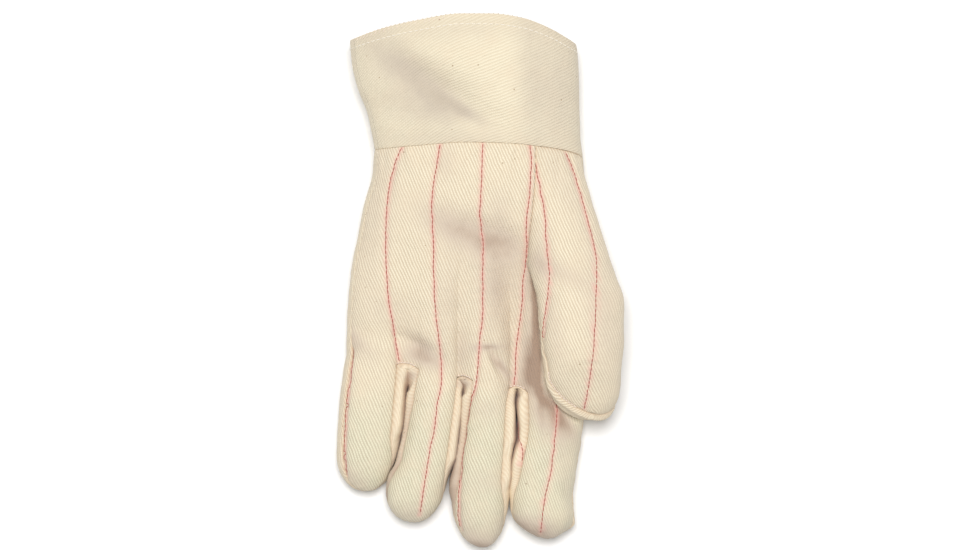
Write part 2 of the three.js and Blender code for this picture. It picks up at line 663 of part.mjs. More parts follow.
// The palm panel: the palm beside the thumb's root, the whole palm below it, and the
// fronts of the four fingers.
const rootSteps = ease(ROOT_ROWS).map((s) => s * CROTCH_AT);
const palmSteps = ease(KNUCKLE_ROWS).map((s) => mix(CROTCH_AT, 1, s));
cloth.grid("palm_panel", rootSteps.map(rootRow), PALM_CLOTH);
cloth.grid("palm_panel", palmSteps.map(palmRow), PALM_CLOTH);
cloth.grid("back_panel", [...rootSteps, ...palmSteps.slice(1)].map(backRow), BACK_CLOTH);
fingers.forEach((_, i) => {
  cloth.grid("palm_panel", FINGER_STATIONS.map((at) => fingerRow(i, at, "front")), PALM_CLOTH);
  cloth.grid("back_panel", FINGER_STATIONS.map((at) => fingerRow(i, at, "back")), BACK_CLOTH);
});

// The side strips between the fingers, each round one crotch.
const STRIPS = ["little_ring_strip", "ring_middle_strip", "middle_index_strip"];
const stripStations = FINGER_STATIONS.filter((at) => at <= STRIP_END);
STRIPS.forEach((name, i) => {
  const down = stripStations.toReversed().map((at) => fingerRow(i, at, "rightSide").reverse());
  const up = stripStations.map((at) => fingerRow(i + 1, at, "leftSide"));
  const bend = crotchRows(i).slice(1, -1).map((row) => row.map((p) => pressed(p)));
  cloth.grid(name, [...down, ...bend, ...up], SIDE_CLOTH);
});

// The thumb's front, from the cuff seam to its tip, and its back, from the web.
cloth.grid(
  "thumb_front",
  [...rootSteps.map(rootArc), ...THUMB_STATIONS.slice(1).map((at) => thumbRow(at, "front"))],
  THUMB_CLOTH,
);
cloth.grid("thumb_back", THUMB_STATIONS.map((at) => thumbRow(at, "back")), BACK_CLOTH);

// The cuff, closed all round, with its turned hem at the rim.
const hemAt = 1 - HEM_HEIGHT / CUFF_HEIGHT;
const cuffSteps = [1, ...ease(CUFF_ROWS - 1).reverse().map((s) => s * hemAt)];
const cuffCloth = cuffSteps.map((at) => (at >= hemAt ? HEM_CLOTH : CUFF_CLOTH));
cloth.grid("cuff", cuffSteps.map(cuffRow), cuffCloth);

// Where the thumb's root seam meets the web, and where the web meets the side seam.
const THUMB_PANELS = ["thumb_front", "thumb_back"];
cloth.pin(web[0], THUMB_PANELS, new THREE.Vector3(1, 0.1, -0.2));
cloth.pin(web[0], ["palm_panel"], new THREE.Vector3(0.1, 0.5, -0.85));
cloth.pin(web.at(-1), THUMB_PANELS, new THREE.Vector3(-0.5, 0.6, 0.6));
cloth.pin(web.at(-1), ["palm_panel", "back_panel"], new THREE.Vector3(-1, 0.3, 0));
cloth.sew();

const MATERIALS = {
  palm_panel: TWILL,
  back_panel: TWILL,
  thumb_front: TWILL,
  thumb_back: TWILL,
  cuff: CUFF_TWILL,
};

const glove = new THREE.Group();
[...cloth.panels.keys()].forEach((name) => {
  const material = new THREE.MeshStandardMaterial(MATERIALS[name] ?? STRIP_TWILL);
  const mesh = new THREE.Mesh(cloth.wall(name), material);
  mesh.name = name;
  glove.add(mesh);
});

// The glove's own origin is the middle of its box, on the table.
const bounds = new THREE.Box3().setFromObject(glove);
const middle = bounds.getCenter(new THREE.Vector3());
glove.position.set(-middle.x, -middle.y, -bounds.min.z);

export default glove;
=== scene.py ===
"""A quilted cotton work glove with a band cuff, lying palm up on a pale table.

Sizes are in millimetres, as a pattern maker would write them, and turn into metres when a
mesh is made. The fingers point along -Y, the cuff along +Y, and the thumb lies over the
palm on the +X side. The glove is sewn from eight panels that share their seam lines.
"""

from __future__ import annotations

import logging
import math
from dataclasses import dataclass, field
from enum import Enum, IntEnum
from typing import Any

import bpy
import numpy as np
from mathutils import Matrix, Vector, noise
from mathutils.bvhtree import BVHTree
from mathutils.kdtree import KDTree

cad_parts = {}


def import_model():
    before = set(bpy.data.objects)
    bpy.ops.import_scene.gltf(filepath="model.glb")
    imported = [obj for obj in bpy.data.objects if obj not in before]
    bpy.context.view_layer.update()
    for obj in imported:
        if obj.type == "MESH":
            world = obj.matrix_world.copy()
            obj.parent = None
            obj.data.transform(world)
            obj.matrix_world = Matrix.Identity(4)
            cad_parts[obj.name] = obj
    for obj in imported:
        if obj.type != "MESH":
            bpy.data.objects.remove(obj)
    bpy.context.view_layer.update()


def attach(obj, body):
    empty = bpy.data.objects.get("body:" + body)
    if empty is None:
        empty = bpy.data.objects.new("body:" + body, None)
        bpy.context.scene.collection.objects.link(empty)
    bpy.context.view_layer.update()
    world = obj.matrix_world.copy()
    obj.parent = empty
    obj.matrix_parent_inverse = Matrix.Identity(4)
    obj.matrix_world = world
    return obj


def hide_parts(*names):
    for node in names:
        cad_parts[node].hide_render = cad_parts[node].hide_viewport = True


LOG = logging.getLogger("work_glove")
MM = 0.001
ORIGIN = (-0.695, 66.341, 0.002)
DOWN = Vector((0, 0, -1))
Array = np.ndarray
Table = tuple[tuple[float, ...], ...]
Triple = tuple[float, float, float]
Light = tuple[float, float, float, float]


class Slot(Enum):
    """The names of the glove's finishes, which each piece carries."""

    QUILTED = "quilted_cotton"
    PLAIN = "plain_cotton"
    CUFF = "cuff_cotton"
    QUILTING_THREAD = "quilting_thread"
    SEAM_THREAD = "seam_thread"


class Side(Enum):
    """The four parts of the way round a finger."""

    FRONT = "front"
    RIGHT = "right side"
    BACK = "back"
    LEFT = "left side"


class Cells(IntEnum):
    """How finely the cloth is laid out, in cells across each part."""

    FRONT = 40
    SIDE = 9
    BACK = 24
    OUTER_BACK = 32
    BEND = 6
    THUMB = 48


def smooth(value: Array | float) -> Array | float:
    """Eases a share from 0 to 1."""
    share = np.clip(value, 0.0, 1.0)
    return share * share * (3 - 2 * share)


def ramp(value: Array | float, start: float, length: float) -> Array | float:
    """Eases from 0 at a start to 1 at a length past it."""
    return smooth((value - start) / length)


def mix(start: Any, end: Any, share: Any) -> Any:
    """Goes from one value to another."""
    return start + (end - start) * share


def signed_power(value: Array, exponent: float | Array) -> Array:
    """Raises a value to a power and keeps its sign."""
    return np.sign(value) * np.abs(value) ** exponent


def unit(vectors: Array) -> Array:
    """Makes each vector one long, and leaves a vector of no length as it is."""
    return vectors / np.maximum(np.linalg.norm(vectors, axis=-1, keepdims=True), 1e-9)


def lengths(path: Array) -> Array:
    """How far along a path each of its points is."""
    return np.concatenate([[0], np.cumsum(np.linalg.norm(np.diff(path, axis=0), axis=1))])


def along_path(where: Array | float, length: Array, values: Array) -> Array:
    """Reads three columns of values at lengths along a path."""
    return np.stack([np.interp(where, length, values[:, n]) for n in range(3)], axis=-1)


def spread(cells: int, pull: float = 0.6) -> Array:
    """Shares from 0 to 1 that crowd towards both ends, where the seams are."""
    even = np.linspace(0.0, 1.0, cells + 1)
    return even - pull * np.sin(2 * np.pi * even) / (2 * np.pi)


def tip_share(at: float, start: float, blunt: float) -> float:
    """The share of the width that a rounded tip leaves."""
    return math.sqrt(max(0.0, 1 - (max(0.0, at - start) / (1 - start)) ** blunt))


def surface_noise(points: Array, size: float, shift: float = 0.0) -> Array:
    """Soft random values, about -0.6 to 0.6, at points of the cloth."""
    scaled = points / size + shift
    return np.array([noise.noise(Vector(place)) for place in scaled])


class Profile:
    """A smooth curve through one column of a table, without overshoot."""

    def __init__(self, places: list[float], values: list[float]) -> None:
        """Takes the column.

        Args:
            places: Where the values hold, rising.
            values: The values.
        """
        self.places = np.array(places, float)
        self.values = np.array(values, float)
        steps = np.diff(self.values) / np.diff(self.places)
        before = np.concatenate([steps[:1], steps])
        after = np.concatenate([steps, steps[-1:]])
        total = np.where(before * after > 0, before + after, 1.0)
        self.slopes = np.where(before * after > 0, 2 * before * after / total, 0.0)

    def __call__(self, place: Array | float) -> Array | float:
        """Reads the curve.

        Args:
            place: Where to read it.

        Returns:
            The value there.
        """
        inside = np.clip(place, self.places[0], self.places[-1])
        last = len(self.places) - 2
        i = np.clip(np.searchsorted(self.places, inside, side="right") - 1, 0, last)
        width = self.places[i + 1] - self.places[i]
        t = (inside - self.places[i]) / width
        rise = t * t * (3 - 2 * t)
        leave = t * (1 - t) * (1 - t) * width * self.slopes[i]
        arrive = t * t * (t - 1) * width * self.slopes[i + 1]
        return self.values[i] + (self.values[i + 1] - self.values[i]) * rise + leave + arrive


def profiles(rows: Table) -> list[Profile]:
    """Curves through each column of a table after the first."""
    places = [row[0] for row in rows]
    return [Profile(places, [row[k] for row in rows]) for k in range(1, len(rows[0]))]


@dataclass
class Finger:
    """One finger. Each row is: share of the length, lean, wide, left and right seam."""

    length: float
    width: float
    thickness: float
    tip_start: float
    blunt: float
    rows: Table
    x: float = 0.0
    y: float = 0.0

    def __post_init__(self) -> None:
        """Draws the curves through the rows."""
        self.lean, self.wide, self.left, self.right = profiles(self.rows)


@dataclass(frozen=True)
class Dent:
    """A soft dent, a ridge if deep is below zero, or a patch of painted shade as dark as deep. Sizes
    are in millimetres.
    """

    x: float
    y: float
    along: float
    across: float
    turn: float
    deep: float

    def depth(self, x: Array, y: Array) -> Array:
        """How far the dent presses the cloth down.

        Args:
            x: Places across the glove.
            y: Places along the glove.

        Returns:
            The depth at each place.
        """
        c = math.cos(math.radians(self.turn))
        s = math.sin(math.radians(self.turn))
        dx = x - self.x
        dy = y - self.y
        along = (dx * c + dy * s) / self.along
        across = (dy * c - dx * s) / self.across
        return self.deep * np.exp(-along * along - across * across)


@dataclass(frozen=True)
class Tug:
    """A place where a seam pulls the cloth out to a small corner."""

    place: Triple
    pulled: Triple
    reach: float

    def pull(self, points: Array) -> Array:
        """Pulls points near the corner."""
        away = np.linalg.norm(points - self.place, axis=1) / self.reach
        return points + np.exp(-away * away)[:, None] * np.array(self.pulled)


TUGS = (Tug((46.6, -187.5, 14.0), (1.9, -0.6, 0.0), 3.4),)
LITTLE = (
    (0, 0, 0.952, 36, 50),
    (0.14, -0.0116, 0.992, 36, 52),
    (0.295, -0.029, 1, 35, 51),
    (0.45, -0.0445, 1.015, 35, 51),
    (0.605, -0.058, 0.979, 36, 50),
    (0.76, -0.077, 0.952, 38, 45),
    (0.876, -0.087, 0.964, 36, 31),
    (1, -0.083, 1.01, 30, 20),
)
RING = (
    (0, 0, 0.9, 55, 33),
    (0.174, -0.003, 0.917, 38, 43),
    (0.308, -0.013, 0.933, 29, 47),
    (0.442, -0.032, 0.958, 26, 49),
    (0.575, -0.057, 1, 30, 48),
    (0.709, -0.113, 1.033, 32, 40),
    (0.803, -0.133, 1.043, 30, 34),
    (0.883, -0.143, 1.06, 26, 28),
    (1, -0.15, 1.05, 20, 20),
)
MIDDLE = (
    (0, 0, 0.9, 56, 37),
    (0.09, 0, 0.875, 47, 46),
    (0.212, 0.0015, 0.925, 35, 55),
    (0.334, -0.007, 0.947, 28, 56),
    (0.457, -0.032, 0.925, 33, 47),
    (0.579, -0.048, 1.003, 43, 49),
    (0.664, -0.051, 0.997, 40, 51),
    (0.811, -0.056, 1.007, 34, 50),
    (0.957, -0.049, 1.05, 28, 38),
    (1, -0.037, 1.06, 20, 30),
)
INDEX = (
    (0, 0, 1.078, 51, 8),
    (0.154, 0.004, 1.058, 52, 8),
    (0.298, -0.002, 1.009, 46, 8),
    (0.37, -0.024, 1.056, 51, 8),
    (0.442, -0.0355, 1.059, 51, 8),
    (0.558, -0.044, 1.02, 42, 8),
    (0.68, -0.058, 1.015, 38, 8),
    (0.831, -0.045, 1.016, 30, 8),
    (0.932, -0.027, 0.961, 24, 6),
    (1, -0.012, 0.88, 20, 5),
)
# Share of the length, lean, wide, lift and left seam.
THUMB = (
    (0, 0, 1.06, 0.87, 0),
    (0.144, 0.037, 1.048, 0.93, 0),
    (0.24, 0.054, 1.012, 0.965, 0),
    (0.35, 0.056, 0.994, 0.99, 1),
    (0.49, 0.068, 0.964, 1, 2),
    (0.59, 0.075, 0.917, 0.995, 3),
    (0.7, 0.0795, 0.865, 0.98, 8),
    (0.81, 0.08, 0.92, 0.95, 14),
    (0.89, 0.095, 0.975, 0.92, 16),
    (1, 0.135, 1, 0.88, 17),
)
# Share of the way to the knuckles, left, right, swell, thick, thumb seam and knuckle.
BODY = (
    (0, 0, 0, 0, 1.11, 0.273, 0),
    (0.1, 0.07, 0.1, 0.007, 1.11, 0.272, 0),
    (0.27, 0.37, 0.3, 0.026, 1.08, 0.255, 0.02),
    (0.39, 0.54, 0.4, 0.035, 1.05, 0.236, 0.06),
    (0.5, 0.705, 0.5, 0.04, 1, 0.226, 0.15),
    (0.62, 0.84, 0.6, 0.034, 0.95, 0.222, 0.32),
    (0.75, 0.935, 0.75, 0.022, 0.89, 0.224, 0.58),
    (0.88, 0.975, 0.88, 0.012, 0.83, 0.228, 0.84),
    (1, 1, 1, 0, 0.778, 0.235, 1),
)
# Share of the way to the rim, left, right and tall.
CUFF = (
    (0, 0, 0, 0),
    (0.15, 0.1, 0.4, 0.2),
    (0.26, 0.19, 0.5, 0.35),
    (0.37, 0.34, 0.55, 0.5),
    (0.48, 0.54, 0.58, 0.64),
    (0.6, 0.71, 0.55, 0.77),
    (0.8, 0.9, 0.65, 0.92),
    (1, 1, 1, 1),
)
# Place across, then how far the line runs up in front and behind.
SEAM_LINE = (
    (-1, 0, 0),
    (-0.6, 0.026, 0.012),
    (-0.1, 0.052, 0.02),
    (0.3, 0.044, 0.01),
    (0.7, 0.004, -0.03),
    (1, -0.06, -0.06),
)
RIM_LINE = (
    (-1, 0.858, 0.858),
    (-0.77, 0.925, 0.87),
    (-0.4, 1, 0.9),
    (0, 1.052, 0.93),
    (0.25, 1.052, 0.93),
    (0.5, 1.024, 0.91),
    (0.75, 0.95, 0.87),
    (1, 0.83, 0.83),
)
# The main dents: x, y, along, across, turn and deep.
MAIN_DENTS = (
    Dent(-20.8, 31.744, 28.08, 7.8, -36, 4.68),
    Dent(-2.08, 45.056, 31.2, 10.4, -60, -1.8),
    Dent(3.12, -41.984, 22.88, 7.8, -18, 3.6),
    Dent(14.56, -71.68, 31.2, 6.24, -84, 3.6),
    Dent(45.76, -95.232, 35.36, 17.68, -86, 7.2),
    Dent(34.32, -58.368, 8.32, 10.4, 0, 2.52),
    Dent(-59.28, -90.112, 10.4, 5.2, -40, 1.8),
    Dent(-30.16, -99.328, 15.6, 5.2, -32, 2.52),
    Dent(10.4, -106.496, 8.32, 3.12, -70, 1.8),
    Dent(-15.6, -73.728, 31.2, 12.48, -75, -1.44),
)


@dataclass
class GloveShape:
    """The skin of the whole glove, as rows of points between its seams."""

    wrist_width: float = 104.0
    wrist_thickness: float = 40.0
    palm_length: float = 102.4
    palm_thickness: float = 36.0
    knuckle_shift: float = -6.95
    knuckle_slope: float = 0.21
    cuff_height: float = 63.5
    rim_width: float = 113.5
    rim_thickness: float = 50.0
    rim_shift: float = -7.8
    thumb_length: float = 75.5
    thumb_width: float = 43.0
    thumb_thickness: float = 25.0
    thumb_lift: float = 40.0
    thumb_tip_start: float = 0.66
    thumb_blunt: float = 2.0
    thumb_right_seam: float = -42.0
    thumb_tip_seam: float = -20.0
    thumb_round: float = 0.91
    thumb_free: float = 0.32
    root_swell: float = 1.45
    finger_gap: float = 0.7
    crotch_bend: float = 1.2
    crotch_at: float = 0.475
    side_height: float = 0.46
    crown: float = 2.5
    sole: float = 4.0
    flat: float = 0.6
    strip_end: float = 0.925
    narrow_start: float = 0.55
    narrow_angle: float = 8.0
    side_seam: float = -36.0
    dent_height: float = 27.0
    fingers: tuple[Finger, ...] = field(
        default_factory=lambda: (
            Finger(65.6, 33, 25, 0.55, 2.8, LITTLE),
            Finger(75, 30, 27, 0.68, 2.6, RING),
            Finger(81.9, 30, 28, 0.6, 2.3, MIDDLE),
            Finger(71, 32, 28, 0.8, 1.8, INDEX),
        )
    )

    def __post_init__(self) -> None:
        """Draws the curves and finds the ring of knuckle points."""
        self.left, self.right, self.swell, self.thick, self.thumb_seam, self.level = profiles(BODY)
        self.rim_left, self.rim_right, self.rise = profiles(CUFF)
        self.thumb_lean, self.thumb_wide, self.lift, self.thumb_left = profiles(THUMB)
        self.seam_line = profiles(SEAM_LINE)
        self.rim_line = profiles(RIM_LINE)
        widths = [finger.width * finger.wide(0) for finger in self.fingers]
        self.knuckle_left = self.knuckle_shift - sum(widths) / 2
        for i, finger in enumerate(self.fingers):
            finger.x = self.knuckle_left + sum(widths[:i]) + widths[i] / 2
            slope = self.knuckle_slope * (finger.x - self.knuckle_left)
            finger.y = -self.palm_length - slope
        front = []
        back = []
        for i in range(4):
            front.append(self.raw_row(i, 0.0, Side.FRONT))
            if i < 3:
                front.append(self.crotch_rows(i)[1:-1, -1])
        self.thumb_column = sum(len(part) for part in front[:-1])
        for i in (3, 2, 1, 0):
            back.append(self.raw_row(i, 0.0, Side.BACK))
            if i > 0:
                back.append(self.crotch_rows(i - 1)[1:-1, 0][::-1])
        self.knuckle_front = np.vstack(front)
        self.knuckle_back = np.vstack(back)
        self.ring_left = self.knuckle_back[:, 0].min()
        self.ring_right = self.knuckle_back[:, 0].max()
        self.web = self.palm_row(self.crotch_at)[self.thumb_column :]

    def pressed(self, points: Array, share: float = 1.0) -> Array:
        """Presses the main dents into the upper side.

        Args:
            points: Points of the skin.
            share: How much of the dents to press in.

        Returns:
            The pressed points.
        """
        made = points.copy()
        facing = smooth(points[..., 2] / self.dent_height) * share
        for dent in MAIN_DENTS:
            made[..., 2] -= dent.depth(points[..., 0], points[..., 1]) * facing
        return made

    def finger_skin(self, finger: Finger, at: float, angle: Array) -> Array:
        """Points round one finger.

        Args:
            finger: The finger.
            at: The share of its length.
            angle: The angles from its right side, in degrees.

        Returns:
            The points.
        """
        tip = tip_share(at, finger.tip_start, finger.blunt)
        half = max((finger.width * finger.wide(at) * tip - self.finger_gap) / 2, 0.0)
        x = finger.x + finger.lean(at) * finger.length
        middle = finger.thickness / 2
        sine = np.sin(np.radians(angle))
        upper = sine > 0
        up = signed_power(sine, 2 / np.where(upper, self.crown, self.sole - 1))
        high = np.where(upper, middle * tip, (middle + self.flat) * math.sqrt(tip))
        dx = half * signed_power(np.cos(np.radians(angle)), 2 / self.crown)
        slope = self.knuckle_slope * (1 - smooth(at / 0.4))
        y = finger.y - at * finger.length - slope * (x + dx - finger.x)
        return np.stack([x + dx, y, np.maximum(0.0, middle + high * up)], axis=-1)

    def narrowing(self, angle: float, at: float) -> float:
        """Where a strip's seam lies as the strip narrows towards the fingertip."""
        start = self.narrow_start
        return mix(angle, self.narrow_angle, ramp(at, start, self.strip_end - start))

    def finger_angles(self, index: int, at: float, side: Side) -> Array:
        """The angles across one part of the way round a finger.

        Args:
            index: The finger, from the little finger at 0.
            at: The share of its length.
            side: The part.

        Returns:
            The angles, in degrees.
        """
        finger = self.fingers[index]
        first = index == 0
        last = index == 3
        left = finger.left(at)
        left = 180 - (left if first else self.narrowing(left, at))
        right = finger.right(at)
        right = right if last else self.narrowing(right, at)
        low_right = right if last else self.narrowing(self.side_seam, at)
        low_left = left - 360 if first else -180 - self.narrowing(self.side_seam, at)
        back = Cells.OUTER_BACK if first or last else Cells.BACK
        start, end, cells = {
            Side.FRONT: (left, right, Cells.FRONT),
            Side.RIGHT: (right, low_right, Cells.SIDE),
            Side.BACK: (low_right, low_left, back),
            Side.LEFT: (low_left, left - 360, Cells.SIDE),
        }[side]
        return mix(start, end, spread(cells))

    def raw_row(self, index: int, at: float, side: Side) -> Array:
        """A row of a finger's skin before the dents."""
        return self.finger_skin(self.fingers[index], at, self.finger_angles(index, at, side))

    def finger_row(self, index: int, at: float, side: Side) -> Array:
        """A row of a finger's skin with the dents, as raw_row gives it."""
        return self.pressed(self.raw_row(index, at, side))

    def crotch_rows(self, index: int) -> Array:
        """The bend of a side strip round one crotch, from back seam to front seam.

        Args:
            index: The finger on its left.

        Returns:
            The rows, from the left finger to the right one.
        """
        start = self.raw_row(index, 0.0, Side.RIGHT)[::-1]
        end = self.raw_row(index + 1, 0.0, Side.LEFT)
        rows = []
        for share in np.linspace(0, 1, Cells.BEND + 1):
            row = mix(start, end, share)
            row[:, 1] += self.crotch_bend * math.sin(share * math.pi)
            rows.append(row)
        return np.array(rows)

    def skin_height(self, across: Array, tall: float, upper: Array) -> Array:
        """The height of the body's skin.

        Args:
            across: Places across it, from -1 to 1.
            tall: The height of its crown.
            upper: Whether each place is in front.

        Returns:
            The heights.
        """
        side = tall * self.side_height
        roundness = np.where(upper, self.crown, self.sole)
        full = (1 - np.minimum(1.0, np.abs(across)) ** roundness) ** (1 / roundness)
        front = side + (tall - side) * full
        return np.where(upper, front, np.maximum(0.0, side - (side + self.flat) * full))

    def edges(self, at: float) -> Triple:
        """The body's edges and its thumb seam.

        Args:
            at: The share of the way from the cuff seam to the knuckles.

        Returns:
            The left edge, the right edge and the thumb seam.
        """
        left = mix(-self.wrist_width / 2, self.ring_left, self.left(at))
        right = mix(self.wrist_width / 2, self.ring_right, self.right(at))
        right += self.wrist_width * self.swell(at)
        settled = ramp(at, self.crotch_at, 1 - self.crotch_at)
        seam = self.knuckle_front[self.thumb_column, 0]
        return left, right, mix(self.wrist_width * self.thumb_seam(at), seam, settled)

    def around_line(self, line: list[Profile], across: Array, high: Array) -> Array:
        """The height up the cuff of a line that runs round the glove."""
        return self.cuff_height * mix(line[1](across), line[0](across), smooth(high))

    def body_row(self, knuckles: Array, at: float) -> Array:
        """A row over the body, below points of the knuckle ring.

        Args:
            knuckles: Points of the ring.
            at: The share of the way down.

        Returns:
            The points.
        """
        left, right, thumb = self.edges(at)
        seam = self.knuckle_front[self.thumb_column, 0]
        inner = (knuckles[:, 0] - self.ring_left) / (seam - self.ring_left)
        outer = (knuckles[:, 0] - seam) / (self.ring_right - seam)
        x = np.where(outer < 0, mix(left, thumb, inner), mix(thumb, right, outer))
        across = (2 * x - left - right) / (right - left)
        upper = knuckles[:, 2] > self.fingers[3].thickness * self.side_height
        tall = self.palm_thickness * self.thick(at)
        plain = self.skin_height(across, tall, upper)
        full = knuckles[:, 2] * (self.thick(at) / self.thick(1.0))
        reach = self.around_line(self.seam_line, across, plain / tall)
        y = mix(reach, knuckles[:, 1], at)
        z = mix(plain, full, self.level(at))
        return self.pressed(np.stack([x, y, z], axis=-1))

    def root_row(self, at: float) -> Array:
        """The palm's row beside the thumb's root."""
        return self.body_row(self.knuckle_front[: self.thumb_column + 1], at)

    def palm_row(self, at: float) -> Array:
        """The palm's row from side to side."""
        return self.body_row(self.knuckle_front, at)

    def back_row(self, at: float) -> Array:
        """The row across the back, from right to left."""
        return self.body_row(self.knuckle_back, at)

    def thumb_centre(self, at: float) -> Array:
        """The middle of the thumb's section.

        Args:
            at: The share of its length.

        Returns:
            The point.
        """
        start = self.web[0]
        half = self.thumb_width * self.thumb_wide(0) / 2
        x = start[0] + half + self.thumb_lean(at) * self.thumb_length
        return np.array([x, start[1] - at * self.thumb_length, self.thumb_lift * self.lift(at)])

    def thumb_skin(self, at: float, angle: Array) -> Array:
        """Points round the free thumb.

        Args:
            at: The share of its length.
            angle: The angles from its right side, in degrees.

        Returns:
            The points.
        """
        tip = tip_share(at, self.thumb_tip_start, self.thumb_blunt)
        half = self.thumb_width * self.thumb_wide(at) * tip / 2
        side = half * signed_power(np.cos(np.radians(angle)), self.thumb_round)
        up = signed_power(np.sin(np.radians(angle)), self.thumb_round)
        up = self.thumb_thickness * tip / 2 * up
        roll = ramp(at, 0.45, 0.5)
        return self.thumb_centre(at) + np.stack([side, roll * up, up], axis=-1)

    def thumb_seams(self, at: float) -> tuple[float, float]:
        """The angles of the thumb's left and right seams."""
        right = mix(self.thumb_right_seam, self.thumb_tip_seam, ramp(at, 0.5, 0.5))
        return 180 - self.thumb_left(at), right

    @staticmethod
    def settle(arc: Array, start: Array, end: Array, share: Array) -> Array:
        """Carries an arc's two ends to where they belong."""
        first = (start - arc[0]) * ((1 - share) ** 4)[:, None]
        return arc + first + (end - arc[-1]) * (share**8)[:, None]

    def root_arc(self, at: float) -> Array:
        """A row over the ball of the thumb, from the palm seam to the side.

        Args:
            at: The share of the way from the cuff seam to the knuckles.

        Returns:
            The points.
        """
        share = spread(Cells.THUMB)
        grow = (at / self.crotch_at) ** self.root_swell
        start = self.root_row(at)[-1]
        end = self.back_row(at)[0]
        left, right, _ = self.edges(at)
        tall = self.palm_thickness * self.thick(at)
        x = mix(start[0], end[0], np.sin(share * math.pi / 2) ** 0.8)
        y = mix(start[1], end[1], share)
        across = (2 * x - left - right) / (right - left)
        z = self.skin_height(across, tall, np.ones(len(x), bool))
        plain = np.stack([x, y, z], axis=-1)
        left_seam, _ = self.thumb_seams(0.0)
        round_arc = self.thumb_skin(0.0, mix(left_seam, self.thumb_right_seam, share))
        round_arc[:, 1] = y
        settled = self.settle(plain, start, end, share)
        return mix(settled, self.settle(round_arc, start, end, share), grow)

    def thumb_row(self, at: float, side: Side) -> Array:
        """A row of the free thumb.

        Args:
            at: The share of its length.
            side: The front or the back.

        Returns:
            The points.
        """
        left_seam, right_seam = self.thumb_seams(at)
        if side is Side.FRONT:
            share = spread(Cells.THUMB)
            angles = mix(left_seam, right_seam, share)
            start = self.root_arc(self.crotch_at)
        else:
            share = spread(Cells.FRONT)
            angles = mix(right_seam, left_seam - 360, share)
            start = self.web[::-1]
        free = smooth(at / self.thumb_free)
        moved = self.thumb_centre(at) - self.thumb_centre(0.0)
        return mix(start + moved, self.thumb_skin(at, angles), free)

    def cuff_row(self, at: float) -> Array:
        """A row all the way round the cuff.

        Args:
            at: The share of the way from the cuff seam to the rim.

        Returns:
            The points, from the left side over the front and back.
        """
        ring = np.vstack([self.root_row(0.0), self.root_arc(0.0)[1:], self.back_row(0.0)[1:]])
        half = self.wrist_width / 2
        left = mix(-half, self.rim_shift - self.rim_width / 2, self.rim_left(at))
        right = mix(half, self.rim_shift + self.rim_width / 2, self.rim_right(at))
        tall = mix(self.wrist_thickness, self.rim_thickness, self.rise(at))
        across = np.clip(ring[:, 0] / half, -1, 1)
        rim = self.around_line(self.rim_line, across, ring[:, 2] / self.wrist_thickness)
        x = mix(left, right, (across + 1) / 2)
        y = mix(ring[:, 1], rim, at)
        z = ring[:, 2] * (tall / self.wrist_thickness)
        return self.pressed(np.stack([x, y, z], axis=-1), smooth(at / 0.15))


@dataclass
class Swatch:
    """One laid-out grid of a panel, with rows running down and columns to the right."""

    points: Array
    weave: Array
    depth: Array


def lay(rows: list[Array], depth: float | Array, middle: int, start: Array | None) -> Swatch:
    """Measures the cloth's own lengths over a grid, for its weave places.

    Args:
        rows: The rows of points.
        depth: The thickness of the cloth, or that of each row.
        middle: The column that the widths are measured from.
        start: The weave places of the row that the grid goes on from, if there is one.

    Returns:
        The swatch.
    """
    points = np.array(rows)
    width = np.linalg.norm(np.diff(points, axis=1), axis=2)
    arc = np.concatenate([np.zeros((len(points), 1)), np.cumsum(width, axis=1)], axis=1)
    fall = np.linalg.norm(np.diff(points, axis=0), axis=2)
    down = np.concatenate([np.zeros((1, points.shape[1])), np.cumsum(fall, axis=0)], axis=0)
    across = arc - arc[:, middle : middle + 1]
    across += points[:, middle : middle + 1, 0]
    if start is None:
        down -= points[0, :, 1]
    else:
        across += start[middle, 0] - points[0, middle, 0]
        down += start[:, 1]
    depths = np.broadcast_to(np.asarray(depth, float), (len(points),))
    return Swatch(points, np.stack([across, down], axis=-1), depths)


@dataclass
class Panel:
    """One sewn panel: its skin, the way in from each point, and its edges."""

    name: str
    base: Array
    normal: Array
    depth: Array
    weave: Array
    faces: list[list[int]]
    edges: Array
    inset: Array

    def seam_points(self, finest: int = 4) -> Array:
        """Points along the panel's edges.

        Args:
            finest: How many to put on each edge of a cell.

        Returns:
            The points.
        """
        start = self.base[self.edges[:, 0]]
        end = self.base[self.edges[:, 1]]
        return np.vstack([mix(start, end, k / finest) for k in range(finest)])


def nearest(points: Array, targets: Array) -> tuple[Array, Array]:
    """Finds the closest target to each point.

    Args:
        points: The points.
        targets: The targets.

    Returns:
        The distances and the targets' indices.
    """
    tree = KDTree(len(targets))
    for i, target in enumerate(targets):
        tree.insert(Vector(target), i)
    tree.balance()
    found = [tree.find(Vector(point)) for point in points]
    return np.array([hit[2] for hit in found]), np.array([hit[1] for hit in found])


